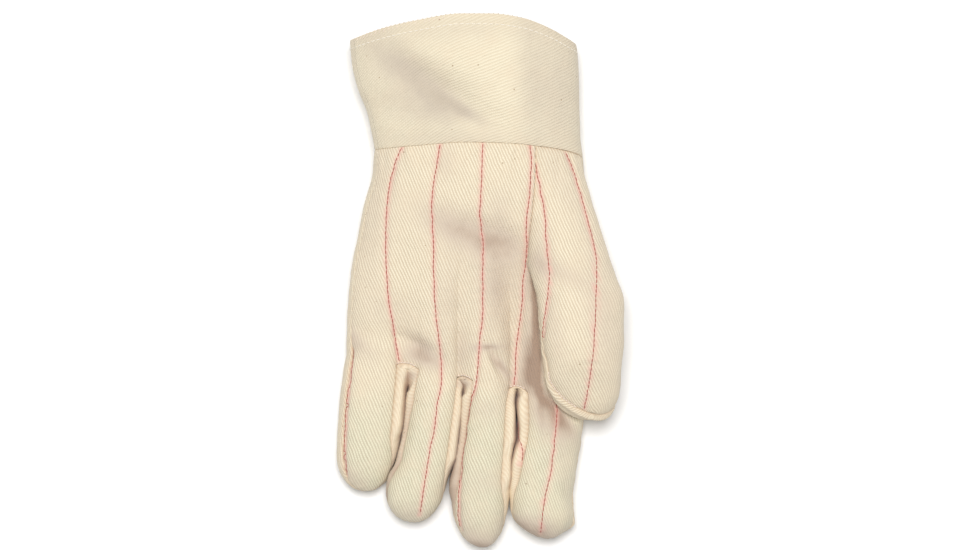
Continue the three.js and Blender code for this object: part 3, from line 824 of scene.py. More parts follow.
@dataclass
class GloveSkin:
    """All panels welded along their seams."""

    seam_gap: float = 0.06
    mitre: float = 0.75
    swatches: dict[str, list[Swatch]] = field(default_factory=dict)

    def add(
        self,
        name: str,
        rows: list[Array],
        depth: float | Array,
        middle: int,
        start: Array | None = None,
    ) -> Array:
        """Adds a grid to a panel.

        Args:
            name: The panel.
            rows: The rows of points.
            depth: The thickness of the cloth, or that of each row.
            middle: The column that the widths are measured from.
            start: The weave places of the row that the grid goes on from, if there is one.

        Returns:
            The weave places of its last row.
        """
        swatch = lay(rows, depth, middle, start)
        self.swatches.setdefault(name, []).append(swatch)
        return swatch.weave[-1]

    @staticmethod
    def quads(ids: Array) -> Array:
        """The four corners of each cell of a grid."""
        corners = (ids[:-1, :-1], ids[1:, :-1], ids[1:, 1:], ids[:-1, 1:])
        return np.stack([corner.ravel() for corner in corners], axis=1)

    @staticmethod
    def normals(points: Array, quads: Array) -> Array:
        """The normal at each point, from its cells by their angles there.

        Args:
            points: All points.
            quads: The cells.

        Returns:
            One normal for each point.
        """
        total = np.zeros_like(points)
        for n in range(4):
            here = points[quads[:, n]]
            before = points[quads[:, n - 1]] - here
            same = np.linalg.norm(before, axis=1) < 1e-9
            before[same] = points[quads[same, n - 2]] - here[same]
            after = points[quads[:, (n + 1) % 4]] - here
            size = np.linalg.norm(before, axis=1) * np.linalg.norm(after, axis=1)
            cross = np.cross(after, before)
            area = np.linalg.norm(cross, axis=1)
            good = (size > 1e-12) & (area > 1e-12)
            angle = np.arctan2(area, np.einsum("ij,ij->i", after, before))
            part = np.zeros_like(cross)
            part[good] = cross[good] / area[good, None] * angle[good, None]
            np.add.at(total, quads[:, n], part)
        return unit(total)

    def sew(self) -> dict[str, Panel]:
        """Welds the swatches and finds each panel's normals, depths and edges.

        Returns:
            The panels by name.
        """
        grids = [swatch for group in self.swatches.values() for swatch in group]
        stacked = np.vstack([grid.points.reshape(-1, 3) for grid in grids])
        _, first, ids = np.unique(
            np.round(stacked * 500), axis=0, return_index=True, return_inverse=True
        )
        ids = ids.ravel()
        points = stacked[first]
        quads: dict[str, Array] = {}
        weave: dict[str, Array] = {}
        thickness: dict[str, Array] = {}
        start = 0
        for name, group in self.swatches.items():
            cells = []
            weave[name] = np.zeros((len(points), 2))
            thickness[name] = np.zeros(len(points))
            for grid in group:
                count = grid.points.shape[0] * grid.points.shape[1]
                own = ids[start : start + count].reshape(grid.points.shape[:2])
                start += count
                cells.append(self.quads(own))
                weave[name][own] = grid.weave
                thickness[name][own] = grid.depth[:, None]
            quads[name] = np.vstack(cells)
        for tug in TUGS:
            points = tug.pull(points)
        normal = self.normals(points, np.vstack(list(quads.values())))
        total = np.zeros(len(points))
        count = np.zeros(len(points))
        for name, cells in quads.items():
            own = self.normals(points, cells)
            used = np.unique(cells)
            facing = np.einsum("ij,ij->i", own[used], normal[used])
            total[used] += thickness[name][used] / np.maximum(self.mitre, facing)
            count[used] += 1
        depth = total / np.maximum(count, 1)
        return {
            name: self.panel(name, points, normal, depth, weave[name], cells)
            for name, cells in quads.items()
        }

    def panel(
        self, name: str, points: Array, normal: Array, depth: Array, weave: Array, cells: Array
    ) -> Panel:
        """Takes one panel out of the welded skin.

        Args:
            name: The panel.
            points: All points.
            normal: All normals.
            depth: The cloth's depth at all points.
            weave: The weave places of this panel's points.
            cells: The panel's cells.

        Returns:
            The panel.
        """
        used, local = np.unique(cells, return_inverse=True)
        local = local.reshape(cells.shape)
        faces = []
        for loop in local.tolist():
            corners = [id_ for n, id_ in enumerate(loop) if id_ != loop[n - 1]]
            if len(set(corners)) > 2:
                faces.append(corners)
        owner: dict[tuple[int, int], int] = {}
        for k, loop in enumerate(faces):
            for n, start in enumerate(loop):
                end = loop[(n + 1) % len(loop)]
                if (end, start) in owner:
                    del owner[(end, start)]
                else:
                    owner[(start, end)] = k
        base = points[used]
        edges = np.array(list(owner))
        centres = np.array([base[faces[k]].mean(axis=0) for k in owner.values()])
        along = unit(base[edges[:, 1]] - base[edges[:, 0]])
        into = centres - base[edges[:, 0]]
        into = unit(into - along * np.einsum("ij,ij->i", into, along)[:, None])
        inset = np.zeros_like(base)
        np.add.at(inset, edges[:, 0], into)
        np.add.at(inset, edges[:, 1], into)
        own_normal = normal[used]
        inset -= own_normal * np.einsum("ij,ij->i", inset, own_normal)[:, None]
        size = np.linalg.norm(inset, axis=1, keepdims=True)
        inset = np.where(size > 1e-6, inset / np.maximum(size, 1e-6), 0) * self.seam_gap / 2
        return Panel(name, base, own_normal, depth[used], weave[used], faces, edges, inset)


@dataclass
class Pattern:
    """Lays out all eight panels of the glove."""

    shape: GloveShape
    palm_cloth: float = 3.0
    back_cloth: float = 2.4
    side_cloth: float = 2.0
    thumb_cloth: float = 2.8
    cuff_cloth: float = 2.0
    hem_cloth: float = 3.2
    hem_height: float = 6.0
    hem_edge: float = 0.012
    root_crowd: float = 1.4
    tip_crowd: float = 1.6
    root_rows: int = 54
    finger_rows: tuple[float, int, int] = (0.85, 66, 20)
    thumb_rows: tuple[float, int, int] = (0.86, 72, 22)
    knuckle_rows: int = 66
    cuff_rows: int = 78

    def stations(self, straight: float, rows: int, tip_rows: int) -> Array:
        """Shares of a finger's length that crowd towards its tip.

        Args:
            straight: Where the crowding starts.
            rows: How many steps before it.
            tip_rows: How many steps after it.

        Returns:
            The shares.
        """
        even = np.linspace(0, straight, rows + 1)
        crowd = 1 - (1 - np.linspace(0, 1, tip_rows + 1)) ** self.tip_crowd
        places = np.concatenate([even, mix(straight, 1.0, crowd[1:])])
        near = np.abs(places - self.shape.strip_end).argmin()
        places[near] = self.shape.strip_end
        return places

    def cut(self) -> dict[str, Panel]:
        """Lays out the palm, the back, the strips, the thumb and the cuff.

        Returns:
            The panels by name.
        """
        skin = GloveSkin()
        shape = self.shape
        root = shape.crotch_at * np.linspace(0, 1, self.root_rows + 1) ** self.root_crowd
        lower = np.linspace(shape.crotch_at, 1, self.knuckle_rows + 1)
        places = self.stations(*self.finger_rows)
        middle = shape.thumb_column // 2
        rows = [shape.root_row(at) for at in root]
        top = skin.add("palm_panel", rows, self.palm_cloth, middle)
        begin = np.vstack([top, np.repeat(top[-1:], len(shape.web) - 1, axis=0)])
        rows = [shape.palm_row(at) for at in lower]
        palm = skin.add("palm_panel", rows, self.palm_cloth, middle, begin)
        rows = [shape.back_row(at) for at in (*root, *lower[1:])]
        back = skin.add("back_panel", rows, self.back_cloth, len(shape.knuckle_back) // 2)
        fronts = 0
        backs = len(shape.knuckle_back)
        for i in range(4):
            wide = Cells.FRONT + 1
            begin = palm[fronts : fronts + wide]
            rows = [shape.finger_row(i, at, Side.FRONT) for at in places]
            skin.add("palm_panel", rows, self.palm_cloth, wide // 2, begin)
            fronts += wide + Cells.BEND - 1
            rows = [shape.finger_row(i, at, Side.BACK) for at in places]
            wide = rows[0].shape[0]
            begin = back[backs - wide : backs]
            skin.add("back_panel", rows, self.back_cloth, wide // 2, begin)
            backs -= wide + Cells.BEND - 1
        self.cut_strips(skin, places)
        self.cut_thumb(skin, root)
        self.cut_cuff(skin)
        return skin.sew()

    def cut_strips(self, skin: GloveSkin, places: Array) -> None:
        """Lays out the three strips between the fingers.

        Args:
            skin: Takes the swatches.
            places: The rows of the fingers.
        """
        shape = self.shape
        names = ("little_ring_strip", "ring_middle_strip", "middle_index_strip")
        used = [at for at in places if at <= shape.strip_end]
        for i, name in enumerate(names):
            down = [shape.finger_row(i, at, Side.RIGHT)[::-1] for at in reversed(used)]
            bend = list(shape.pressed(shape.crotch_rows(i)[1:-1]))
            up = [shape.finger_row(i + 1, at, Side.LEFT) for at in used]
            skin.add(name, [*down, *bend, *up], self.side_cloth, 0)

    def cut_thumb(self, skin: GloveSkin, root: Array) -> None:
        """Lays out the thumb's front and back.

        Args:
            skin: Takes the swatches.
            root: The rows of the thumb's root.
        """
        shape = self.shape
        places = self.stations(*self.thumb_rows)
        rows = [shape.root_arc(at) for at in root]
        rows += [shape.thumb_row(at, Side.FRONT) for at in places[1:]]
        skin.add("thumb_front", rows, self.thumb_cloth, Cells.THUMB // 2)
        rows = [shape.thumb_row(at, Side.BACK) for at in places]
        skin.add("thumb_back", rows, self.back_cloth, Cells.FRONT // 2)

    def cut_cuff(self, skin: GloveSkin) -> None:
        """Lays out the cuff from its rim to its seam.

        Args:
            skin: Takes the swatch.
        """
        levels = spread(self.cuff_rows, 0.72)[::-1]
        hem = 1 - self.hem_height / self.shape.cuff_height
        turned = smooth((levels - hem + self.hem_edge) / (2 * self.hem_edge))
        depth = mix(self.cuff_cloth, self.hem_cloth, turned)
        rows = [self.shape.cuff_row(at) for at in levels]
        skin.add("cuff", rows, depth, self.shape.thumb_column // 2)


class NodeSheet:
    """Builds the nodes of one material."""

    def __init__(self, name: str) -> None:
        """Starts an empty material.

        Args:
            name: Its name.
        """
        self.material = bpy.data.materials.new(name)
        self.material.use_nodes = True
        self.tree = self.material.node_tree
        self.tree.nodes.clear()

    def put(self, socket: Any, value: Any) -> None:
        """Sets an input to a number, a colour or another node's output.

        Args:
            socket: The input.
            value: What to give it, where a colour is as it is seen on a screen.
        """
        if isinstance(value, bpy.types.NodeSocket):
            self.tree.links.new(value, socket)
        else:
            socket.default_value = paint(*value) if isinstance(value, tuple) else value

    def add(self, kind: str, inputs: dict[Any, Any] | None = None, **settings: Any) -> Any:
        """Adds a node.

        Args:
            kind: The node's type.
            inputs: A value or another node's output for each of its inputs.
            settings: The node's own settings.

        Returns:
            The node.
        """
        node = self.tree.nodes.new(kind)
        for key, value in settings.items():
            setattr(node, key, value)
        for key, value in (inputs or {}).items():
            self.put(node.inputs[key], value)
        return node

    def measure(self, name: str, output: str = "Fac") -> Any:
        """Reads one of the measures that a mesh carries."""
        return self.add("ShaderNodeAttribute", attribute_name=name).outputs[output]

    def math(self, operation: str, first: Any, second: Any = 0.0, third: Any = 0.0) -> Any:
        """Adds a sum of numbers."""
        inputs = {0: first, 1: second, 2: third}
        return self.add("ShaderNodeMath", inputs, operation=operation).outputs[0]

    def wave(self, turns: Any) -> Any:
        """A wave from -1 to 1 that comes back at each whole turn."""
        return self.math("SINE", self.math("MULTIPLY", turns, 2 * math.pi))

    def noise(self, place: Any, scale: float, detail: float = 2.0, rough: float = 0.5) -> Any:
        """Adds a cloudy pattern."""
        inputs = {"Vector": place, "Scale": scale, "Detail": detail, "Roughness": rough}
        return self.add("ShaderNodeTexNoise", inputs).outputs["Fac"]

    def tint(self, share: Any, first: Any, second: Any) -> Any:
        """Mixes two colours, by the share of the second."""
        inputs = {0: share, 6: first, 7: second}
        return self.add("ShaderNodeMix", inputs, data_type="RGBA").outputs[2]

    def span(self, value: Any, low: float, high: float, start: float = 0.0, end: float = 1.0) -> Any:
        """Stretches a range of a value, and stops at both ends."""
        inputs = {"Value": value, "From Min": low, "From Max": high, "To Min": start, "To Max": end}
        return self.add("ShaderNodeMapRange", inputs).outputs["Result"]

    def bump(self, strength: float, distance: float, height: Any, **normal: Any) -> Any:
        """Turns a height into relief, on top of another relief where one is given."""
        inputs = {"Strength": strength, "Distance": distance, "Height": height, **normal}
        return self.add("ShaderNodeBump", inputs).outputs[0]

    def finish(self, inputs: dict[str, Any]) -> bpy.types.Material:
        """Makes the surface and joins it to the material.

        Args:
            inputs: The surface's colour, roughness and the rest.

        Returns:
            The material.
        """
        shader = self.add("ShaderNodeBsdfPrincipled", inputs)
        self.add("ShaderNodeOutputMaterial", {"Surface": shader.outputs[0]})
        return self.material


def paint(red: float, green: float, blue: float) -> Light:
    """A colour as it is seen on a screen, from 0 to 255, as light.

    Args:
        red: Its red.
        green: Its green.
        blue: Its blue.

    Returns:
        The light's red, green, blue and 1.
    """
    parts = []
    for value in (red / 255, green / 255, blue / 255):
        low = value / 12.92
        parts.append(low if value <= 0.04045 else ((value + 0.055) / 1.055) ** 2.4)
    return (*parts, 1.0)


@dataclass(frozen=True)
class TwillFinish:
    """Unbleached cotton twill with uneven yarns and seed specks, painted shade in its weave's
    valleys, dents and creases, and dust with painted shade at its seams.

    Pitch and step are a yarn's width and the length of its stitches, in millimetres. Drift,
    shiver, lint, slub, mottle, seeds and pile say how closely each pattern repeats.
    """

    name: str
    yarn: Triple = (243, 233, 208)
    shaded_valley: Triple = (204, 185, 158)
    cool_yarn: Triple = (234, 229, 204)
    cool_shaded_valley: Triple = (192, 180, 152)
    warm: Triple = (229, 211, 184)
    dust_and_shade: Triple = (206, 176, 146)
    speck: Triple = (150, 118, 84)
    halo: Triple = (232, 184, 170)
    painted_shade: Triple = (205, 188, 170)
    deep_painted_shade: Triple = (158, 132, 114)
    angle: float = 67.0
    pitch: float = 1.45
    step: float = 1.15
    relief: float = 0.00022
    pile_relief: float = 0.0007
    wander: float = 0.9
    stagger: float = 0.37
    specks: float = 0.8
    drift: float = 0.11
    shiver: float = 0.7
    lint: float = 2.4
    slub: float = 0.12
    mottle: float = 0.07
    seeds: float = 0.16
    pile: float = 0.32

    def material(self) -> bpy.types.Material:
        """Builds the cloth.

        Returns:
            The material.
        """
        sheet = NodeSheet(self.name)
        weave = sheet.measure("weave", "Vector")
        crease, stain, painted_shade, cool = map(sheet.measure, ("crease", "stain", "painted_shade", "cool"))
        parts = sheet.add("ShaderNodeSeparateXYZ", {0: weave})
        c = math.cos(math.radians(self.angle))
        s = math.sin(math.radians(self.angle))
        first = sheet.math("MULTIPLY", parts.outputs[0], s)
        across = sheet.math("MULTIPLY_ADD", parts.outputs[1], -c, first)
        second = sheet.math("MULTIPLY", parts.outputs[0], c)
        along = sheet.math("MULTIPLY_ADD", parts.outputs[1], s, second)
        drift = sheet.noise(weave, self.drift, 2.0)
        shiver = sheet.noise(weave, self.shiver, 1.0)
        turns = sheet.math("MULTIPLY", across, 1 / self.pitch)
        turns = sheet.math("MULTIPLY_ADD", drift, self.wander, turns)
        turns = sheet.math("MULTIPLY_ADD", shiver, 0.3 * self.wander, turns)
        ridge = sheet.span(sheet.wave(turns), -0.9, 0.8)
        number = sheet.math("FLOOR", turns)
        stagger = sheet.math("MULTIPLY", number, self.stagger)
        beat = sheet.math("MULTIPLY_ADD", along, 1 / self.step, stagger)
        step = sheet.span(sheet.wave(beat), -1.0, 1.0)
        lint = sheet.noise(weave, self.lint, 3.0, 0.6)
        yarn = sheet.math("MULTIPLY", number, 1.73)
        place = {0: yarn, 1: sheet.math("MULTIPLY", along, self.slub)}
        slub = sheet.noise(sheet.add("ShaderNodeCombineXYZ", place).outputs[0], 1.0, 2.0)
        height = sheet.math("MULTIPLY", ridge, sheet.span(step, 0, 1, 0.62, 1.0))
        height = sheet.math("MULTIPLY_ADD", lint, 0.5, height)
        height = sheet.math("MULTIPLY_ADD", slub, 0.35, height)
        # Painted shade: the valleys between the yarns take a darker colour by the weave's height, on
        # top of their relief.
        low = sheet.tint(cool, self.shaded_valley, self.cool_shaded_valley)
        high = sheet.tint(cool, self.yarn, self.cool_yarn)
        colour = sheet.tint(sheet.span(height, 0.2, 1.35), low, high)
        mottle = sheet.noise(weave, self.mottle, 3.0, 0.55)
        seeds = sheet.add("ShaderNodeTexVoronoi", {"Vector": weave, "Scale": self.seeds})
        chance = sheet.add("ShaderNodeSeparateXYZ", {0: seeds.outputs["Color"]}).outputs[0]
        size = sheet.span(chance, 1 - self.specks, 1.0, 0.0, 0.075)
        near = sheet.math("LESS_THAN", seeds.outputs["Distance"], size)
        layers = (
            (sheet.span(mottle, 0.45, 0.75, 0.0, 0.4), self.warm),
            (sheet.span(slub, 0.52, 0.78, 0.0, 0.3), self.warm),
            # Painted shade in dents, creases and shadows, and deeper painted shade where the share
            # passes 1.
            (sheet.span(painted_shade, 0, 1, 0, 0.85), self.painted_shade),
            (sheet.span(painted_shade, 1, 2, 0, 0.85), self.deep_painted_shade),
            # Dust and painted shade at the seams, and painted shade deep between the fingers.
            (sheet.math("MULTIPLY", crease, 0.75), self.dust_and_shade),
            (sheet.math("MULTIPLY", near, 0.6), self.speck),
            (sheet.math("MULTIPLY", stain, 0.8), self.halo),
        )
        for share, tone in layers:
            colour = sheet.tint(share, colour, tone)
        pile = sheet.bump(0.5, self.pile_relief, sheet.noise(weave, self.pile, 3.0))
        return sheet.finish(
            {
                "Base Color": colour,
                "Roughness": sheet.span(lint, 0.3, 0.7, 0.86, 0.97),
                "Specular IOR Level": 0.25,
                "Sheen Weight": 0.15,
                "Sheen Roughness": 0.5,
                "Normal": sheet.bump(0.8, self.relief, height, Normal=pile),
            }
        )


@dataclass(frozen=True)
class ThreadFinish:
    """Plied cotton thread, with its twist as relief."""

    name: str
    colour: Triple
    shade: Triple
    lay: float = 0.55

    def material(self) -> bpy.types.Material:
        """Builds the thread.

        Returns:
            The material.
        """
        sheet = NodeSheet(self.name)
        weave = sheet.measure("weave", "Vector")
        parts = sheet.add("ShaderNodeSeparateXYZ", {0: weave})
        turn = sheet.math("MULTIPLY_ADD", parts.outputs[0], 1 / self.lay, parts.outputs[1])
        wear = sheet.noise(weave, 0.35, 3.0)
        height = sheet.math("MULTIPLY_ADD", sheet.wave(turn), 0.5, wear)
        return sheet.finish(
            {
                "Base Color": sheet.tint(sheet.span(height, -0.2, 1.2), self.shade, self.colour),
                "Roughness": sheet.span(wear, 0.3, 0.7, 0.7, 0.9),
                "Specular IOR Level": 0.3,
                "Sheen Weight": 0.1,
                "Normal": sheet.bump(0.6, 0.0001, height),
            }
        )


@dataclass(frozen=True)
class TableFinish:
    """A plain pale table top."""

    name: str = "pale_table"
    colour: Triple = (250, 250, 250)
    uneven: float = 2.0

    def material(self) -> bpy.types.Material:
        """Builds the table top.

        Returns:
            The material.
        """
        sheet = NodeSheet(self.name)
        cloud = sheet.noise(sheet.add("ShaderNodeTexCoord").outputs["Object"], 3.0)
        low = tuple(part - self.uneven for part in self.colour)
        colour = sheet.tint(cloud, low, self.colour)
        return sheet.finish({"Base Color": colour, "Roughness": 0.9, "Specular IOR Level": 0.1})


def make_object(
    name: str,
    points: Array,
    faces: list[Any],
    fields: dict[str, Array],
    material: bpy.types.Material,
) -> bpy.types.Object:
    """Makes one smooth piece of the glove, with its own measures for the material.

    Args:
        name: The piece's name.
        points: Its points, in millimetres, in the glove's own frame.
        faces: Its faces.
        fields: A number or a place for each point, by name.
        material: Its finish.

    Returns:
        The object.
    """
    mesh = bpy.data.meshes.new(name)
    mesh.from_pydata(((points + ORIGIN) * MM).tolist(), [], faces)
    for key, values in fields.items():
        kind, entry = ("FLOAT", "value")
        if values.ndim == 2:
            kind, entry = ("FLOAT_VECTOR", "vector")
            values = np.pad(values, ((0, 0), (0, 1)))
        measure = mesh.attributes.new(key, kind, "POINT")
        measure.data.foreach_set(entry, values.astype(np.float32).ravel())
    mesh.shade_smooth()
    mesh.materials.append(material)
    mesh.update()
    piece = bpy.data.objects.new(name, mesh)
    bpy.context.scene.collection.objects.link(piece)
    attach(piece, "root")
    LOG.info("%s: %d faces", name, len(faces))
    return piece


@dataclass(frozen=True)
class ClothHabit:
    """How the cloth behaves near its seams. Lengths are in millimetres.

    Ramps are a start and a length: along the fingers they're counted from the cuff seam,
    and up the glove from the table.
    """

    knuckle_ramp: tuple[float, float] = (88.0, 14.0)
    bead_ramp: tuple[float, float] = (90.0, 12.0)
    fresh_ramp: tuple[float, float] = (105.0, 40.0)
    fold_ramp: tuple[float, float] = (10.0, 8.0)
    painted_shade_ramp: tuple[float, float] = (4.0, 6.0)
    bead_place: float = 2.3
    bead_width: float = 1.6
    dip_reach: float = 3.5
    dip_share: float = 0.35
    pucker_reach: float = 2.6
    broad_wave: float = 26.0
    small_wave: float = 9.0
    stitch_width: float = 1.5
    quilt_reach: float = 4.5
    quilt_share: float = 0.55
    halo_width: float = 1.15
    gather_reach: float = 11.0
    gather_start: float = 2.0
    least_cloth: float = 0.7
    contact_gap: float = 0.08
    most_bulge: float = 5.2
    widest_gap: float = 14.5
    bulge_reach: float = 1.2
    bend_length: float = 9.0
    ray_height: float = 90.0


HABIT = ClothHabit()


@dataclass
class QuiltLine:
    """A line of quilting stitches, laid on the cloth below points seen from above."""

    route: Table
    points: Array = field(default_factory=lambda: np.zeros((0, 3)))

    def drawn(self, step: float = 0.5) -> Array:
        """The line as closely spaced places, from above.

        Args:
            step: The spacing, in millimetres.

        Returns:
            The places.
        """
        route = np.array(self.route, float)
        length = lengths(route)
        across = Profile(length.tolist(), route[:, 0].tolist())
        along = Profile(length.tolist(), route[:, 1].tolist())
        where = np.linspace(0, length[-1], int(length[-1] / step) + 1)
        line = np.stack([across(where), along(where)], axis=-1)
        sway = np.concatenate([line, np.zeros((len(line), 1))], axis=1)
        line[:, 0] += 0.35 * surface_noise(sway, 5.0, 4.0) + 0.16 * surface_noise(sway, 1.8, 9.0)
        return line

    def settle(self, panel: Panel) -> None:
        """Drops the line onto a panel.

        Args:
            panel: The panel.
        """
        tree = BVHTree.FromPolygons(panel.base.tolist(), panel.faces)
        found = []
        for x, y in self.drawn():
            hit = tree.ray_cast(Vector((x, y, HABIT.ray_height)), DOWN)[0]
            if hit is not None:
                found.append(tuple(hit))
        self.points = np.array(found)


@dataclass
class ClothPiece:
    """A panel of cloth, dressed: rolled at its seams, quilted, creased and made."""

    panel: Panel
    name: str
    slot: Slot
    material: bpy.types.Material
    lines: tuple[QuiltLine, ...] = ()
    folds: tuple[Dent, ...] = ()
    shade_patches: tuple[Dent, ...] = ()
    roll: float = 1.9
    sink: float = 0.6
    pucker: float = 0.45
    groove: float = 0.7
    gather: float = 0.0
    wave: float = 0.7
    clean: float = 1.0
    bead: float = 0.0
    fresh: float = 0.0
    closing: bool = False

    def seams(self) -> tuple[Array, Array]:
        """How far each point is from the panel's edge, and the random tuck there.

        Returns:
            The distances and the tucks.
        """
        rim = self.panel.seam_points()
        away, index = nearest(self.panel.base, rim)
        tucks = surface_noise(rim, 2.6) + 0.6 * surface_noise(rim, 1.2, 7.0)
        return away, tucks[index]

    def quilted(self, lift: Array) -> Array:
        """Sews the quilting lines in.

        Args:
            lift: How far each point is lifted, which is changed.

        Returns:
            How pink the cloth is at each point.
        """
        if not self.lines:
            return np.zeros(len(lift))
        routes = np.vstack([line.points for line in self.lines])
        away, index = nearest(self.panel.base, routes)
        tuck = surface_noise(routes, 2.1, 3.0)[index]
        lift -= self.groove * np.exp(-((away / HABIT.stitch_width) ** 2))
        lift -= HABIT.quilt_share * self.groove * np.exp(-away / HABIT.quilt_reach)
        lift += 0.45 * tuck * np.exp(-away / 2.8)
        return np.exp(-((away / HABIT.halo_width) ** 2)) * np.clip(0.85 + 0.7 * tuck, 0.3, 1.0)

    def dressed(self) -> tuple[Array, Array, Array]:
        """Rolls, quilts and creases the cloth.

        Returns:
            The lift, its dust and painted shade at the seams and between the fingers, and how pink it
            is at each point.
        """
        base = self.panel.base
        away, tuck = self.seams()
        lift = np.zeros(len(base))
        stain = self.quilted(lift)
        rolled = np.clip(1 - away / self.roll, 0, 1)
        down = -base[:, 1]
        marked = mix(self.clean, 1.0, ramp(down, *HABIT.knuckle_ramp))
        lift -= self.sink * marked * (1 - np.sqrt(1 - rolled**2))
        lift -= HABIT.dip_share * self.sink * marked * np.exp(-away / HABIT.dip_reach)
        bead = np.exp(-(((away - HABIT.bead_place) / HABIT.bead_width) ** 2))
        lift += self.bead * bead * ramp(down, *HABIT.bead_ramp)
        lift += self.pucker * tuck * np.exp(-away / HABIT.pucker_reach) * (1 - 0.7 * rolled)
        lift += self.wave * surface_noise(base, HABIT.broad_wave, 11.0)
        lift += 0.5 * self.wave * surface_noise(base, HABIT.small_wave, 5.0)
        upper = ramp(base[:, 2], *HABIT.fold_ramp)
        for fold in self.folds:
            lift -= fold.depth(base[:, 0], base[:, 1]) * upper
        if self.gather:
            near = np.exp(-np.abs(down) / HABIT.gather_reach)
            near *= 1 - np.exp(-np.abs(down) / HABIT.gather_start)
            lift += self.gather * near * surface_noise(base * [1, 0.12, 1], 3.4, 2.0)
        # Dust and painted shade along the seams, darkest at the edge.
        dusty_and_shaded = 0.4 * np.exp(-away / 0.8) + 0.15 * np.exp(-away / 3)
        dusty_and_shaded *= marked
        if self.closing:
            closed = self.closed()
            lift += closed * (1 - np.exp(-away / HABIT.bulge_reach))
            dusty_and_shaded *= 0.6
            # Painted shade deep between two fingers, where the strip meets itself, and round the
            # crotch.
            dusty_and_shaded += 0.9 * ramp(away, 2.8, 3.0) * smooth(closed / 0.2 + self.bend() - 0.2)
        return lift, np.clip(dusty_and_shaded, 0, 1), stain

    def closed(self) -> Array:
        """How far a side strip bulges to meet itself between two fingers.

        Returns:
            The bulge at each point.
        """
        base = self.panel.base
        first = self.past_bend() < 0
        gap = np.zeros(len(base))
        gap[first] = nearest(base[first], base[~first])[0]
        gap[~first] = nearest(base[~first], base[first])[0]
        reach = np.abs(self.past_bend())
        bulge = np.clip(gap / 2 - HABIT.contact_gap, 0, HABIT.most_bulge)
        bulge *= smooth((HABIT.widest_gap - gap) / 3.0)
        return bulge * ramp(reach, 1.6, 2.4) * smooth((0.72 * reach.max() - reach) / 9.0)

    def past_bend(self) -> Array:
        """How far past the bend of a side strip round its crotch each point is."""
        along = self.panel.weave[:, 1]
        return along - (along.min() + along.max()) / 2

    def bend(self) -> Array:
        """How near a side strip's points are to its bend, as shares."""
        return smooth((HABIT.bend_length - np.abs(self.past_bend())) / 5)

    def painted_shade(self) -> Array:
        """How much painted shade each point takes, in its dents, creases and shadowed places.

        Returns:
            A share for each point.
        """
        base = self.panel.base
        upper = ramp(base[:, 2], *HABIT.painted_shade_ramp)
        shade_sum = np.zeros(len(base))
        # Each patch paints shade where the cloth lies in a dent, a crease or a shadow.
        for shade_patch in self.shade_patches:
            shade_sum += shade_patch.depth(base[:, 0], base[:, 1]) * upper
        uneven = 1 + 0.16 * surface_noise(base, 11.0, 3.0) + 0.14 * surface_noise(base, 4.0, 8.0)
        return np.clip(shade_sum * uneven, 0, 2)

    def make(self) -> None:
        """Makes the closed panel and puts it in the glove."""
        panel = self.panel
        for line in self.lines:
            line.settle(panel)
        lift, crease, stain = self.dressed()
        lift = np.maximum(lift, HABIT.least_cloth - panel.depth)
        skin = panel.base + panel.inset + panel.normal * lift[:, None]
        lining = panel.base + panel.inset - panel.normal * panel.depth[:, None]
        skin[:, 2] = np.maximum(skin[:, 2], 0.0)
        lining[:, 2] = np.maximum(lining[:, 2], 0.3)
        self.skin = skin
        self.tree = BVHTree.FromPolygons(skin.tolist(), panel.faces)
        count = len(skin)
        faces = list(panel.faces)
        faces += [[corner + count for corner in reversed(loop)] for loop in panel.faces]
        faces += [[b, a, a + count, b + count] for a, b in panel.edges.tolist()]
        points = np.vstack([skin, lining])
        fields = {
            "weave": np.vstack([panel.weave, panel.weave]),
            "crease": np.concatenate([crease, crease]),
            "stain": np.concatenate([stain, np.zeros(count)]),
            # Painted shade from the patches.
            "painted_shade": np.tile(self.painted_shade(), 2),
            "cool": np.tile(self.fresh * ramp(-panel.base[:, 1], *HABIT.fresh_ramp), 2),
        }
        piece = make_object(self.name, points, faces, fields, self.material)
        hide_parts(panel.name)

    def below(self, points: Array) -> tuple[Array, Array]:
        """The places of the dressed cloth straight below points.

        Args:
            points: Places seen from above.

        Returns:
            The places and the cloth's normals there, evened out along the row.
        """
        places = []
        normals = []
        for x, y, z in points:
            place, normal = self.tree.ray_cast(Vector((x, y, HABIT.ray_height)), DOWN)[:2]
            if place is None:
                place, normal = self.tree.find_nearest(Vector((x, y, z)))[:2]
            places.append(tuple(place))
            normals.append(tuple(normal))
        heights = np.array(places)
        heights[:, 2] = self.evened(heights[:, 2], 3)
        facing = np.stack([self.evened(column, 7) for column in np.array(normals).T], axis=-1)
        return heights, unit(facing)

    @staticmethod
    def evened(values: Array, reach: int) -> Array:
        """Averages each value with its neighbours."""
        padded = np.pad(values, reach // 2, mode="edge")
        return np.convolve(padded, np.ones(reach) / reach, mode="valid")

    def on_skin(self, points: Array) -> tuple[Array, Array]:
        """The closest places of the dressed cloth.

        Args:
            points: Places near it.

        Returns:
            The places and the cloth's normals there.
        """
        hits = [self.tree.find_nearest(Vector(point)) for point in points]
        places = np.array([tuple(hit[0]) for hit in hits])
        normals = np.array([tuple(hit[1]) for hit in hits])
        return places, normals


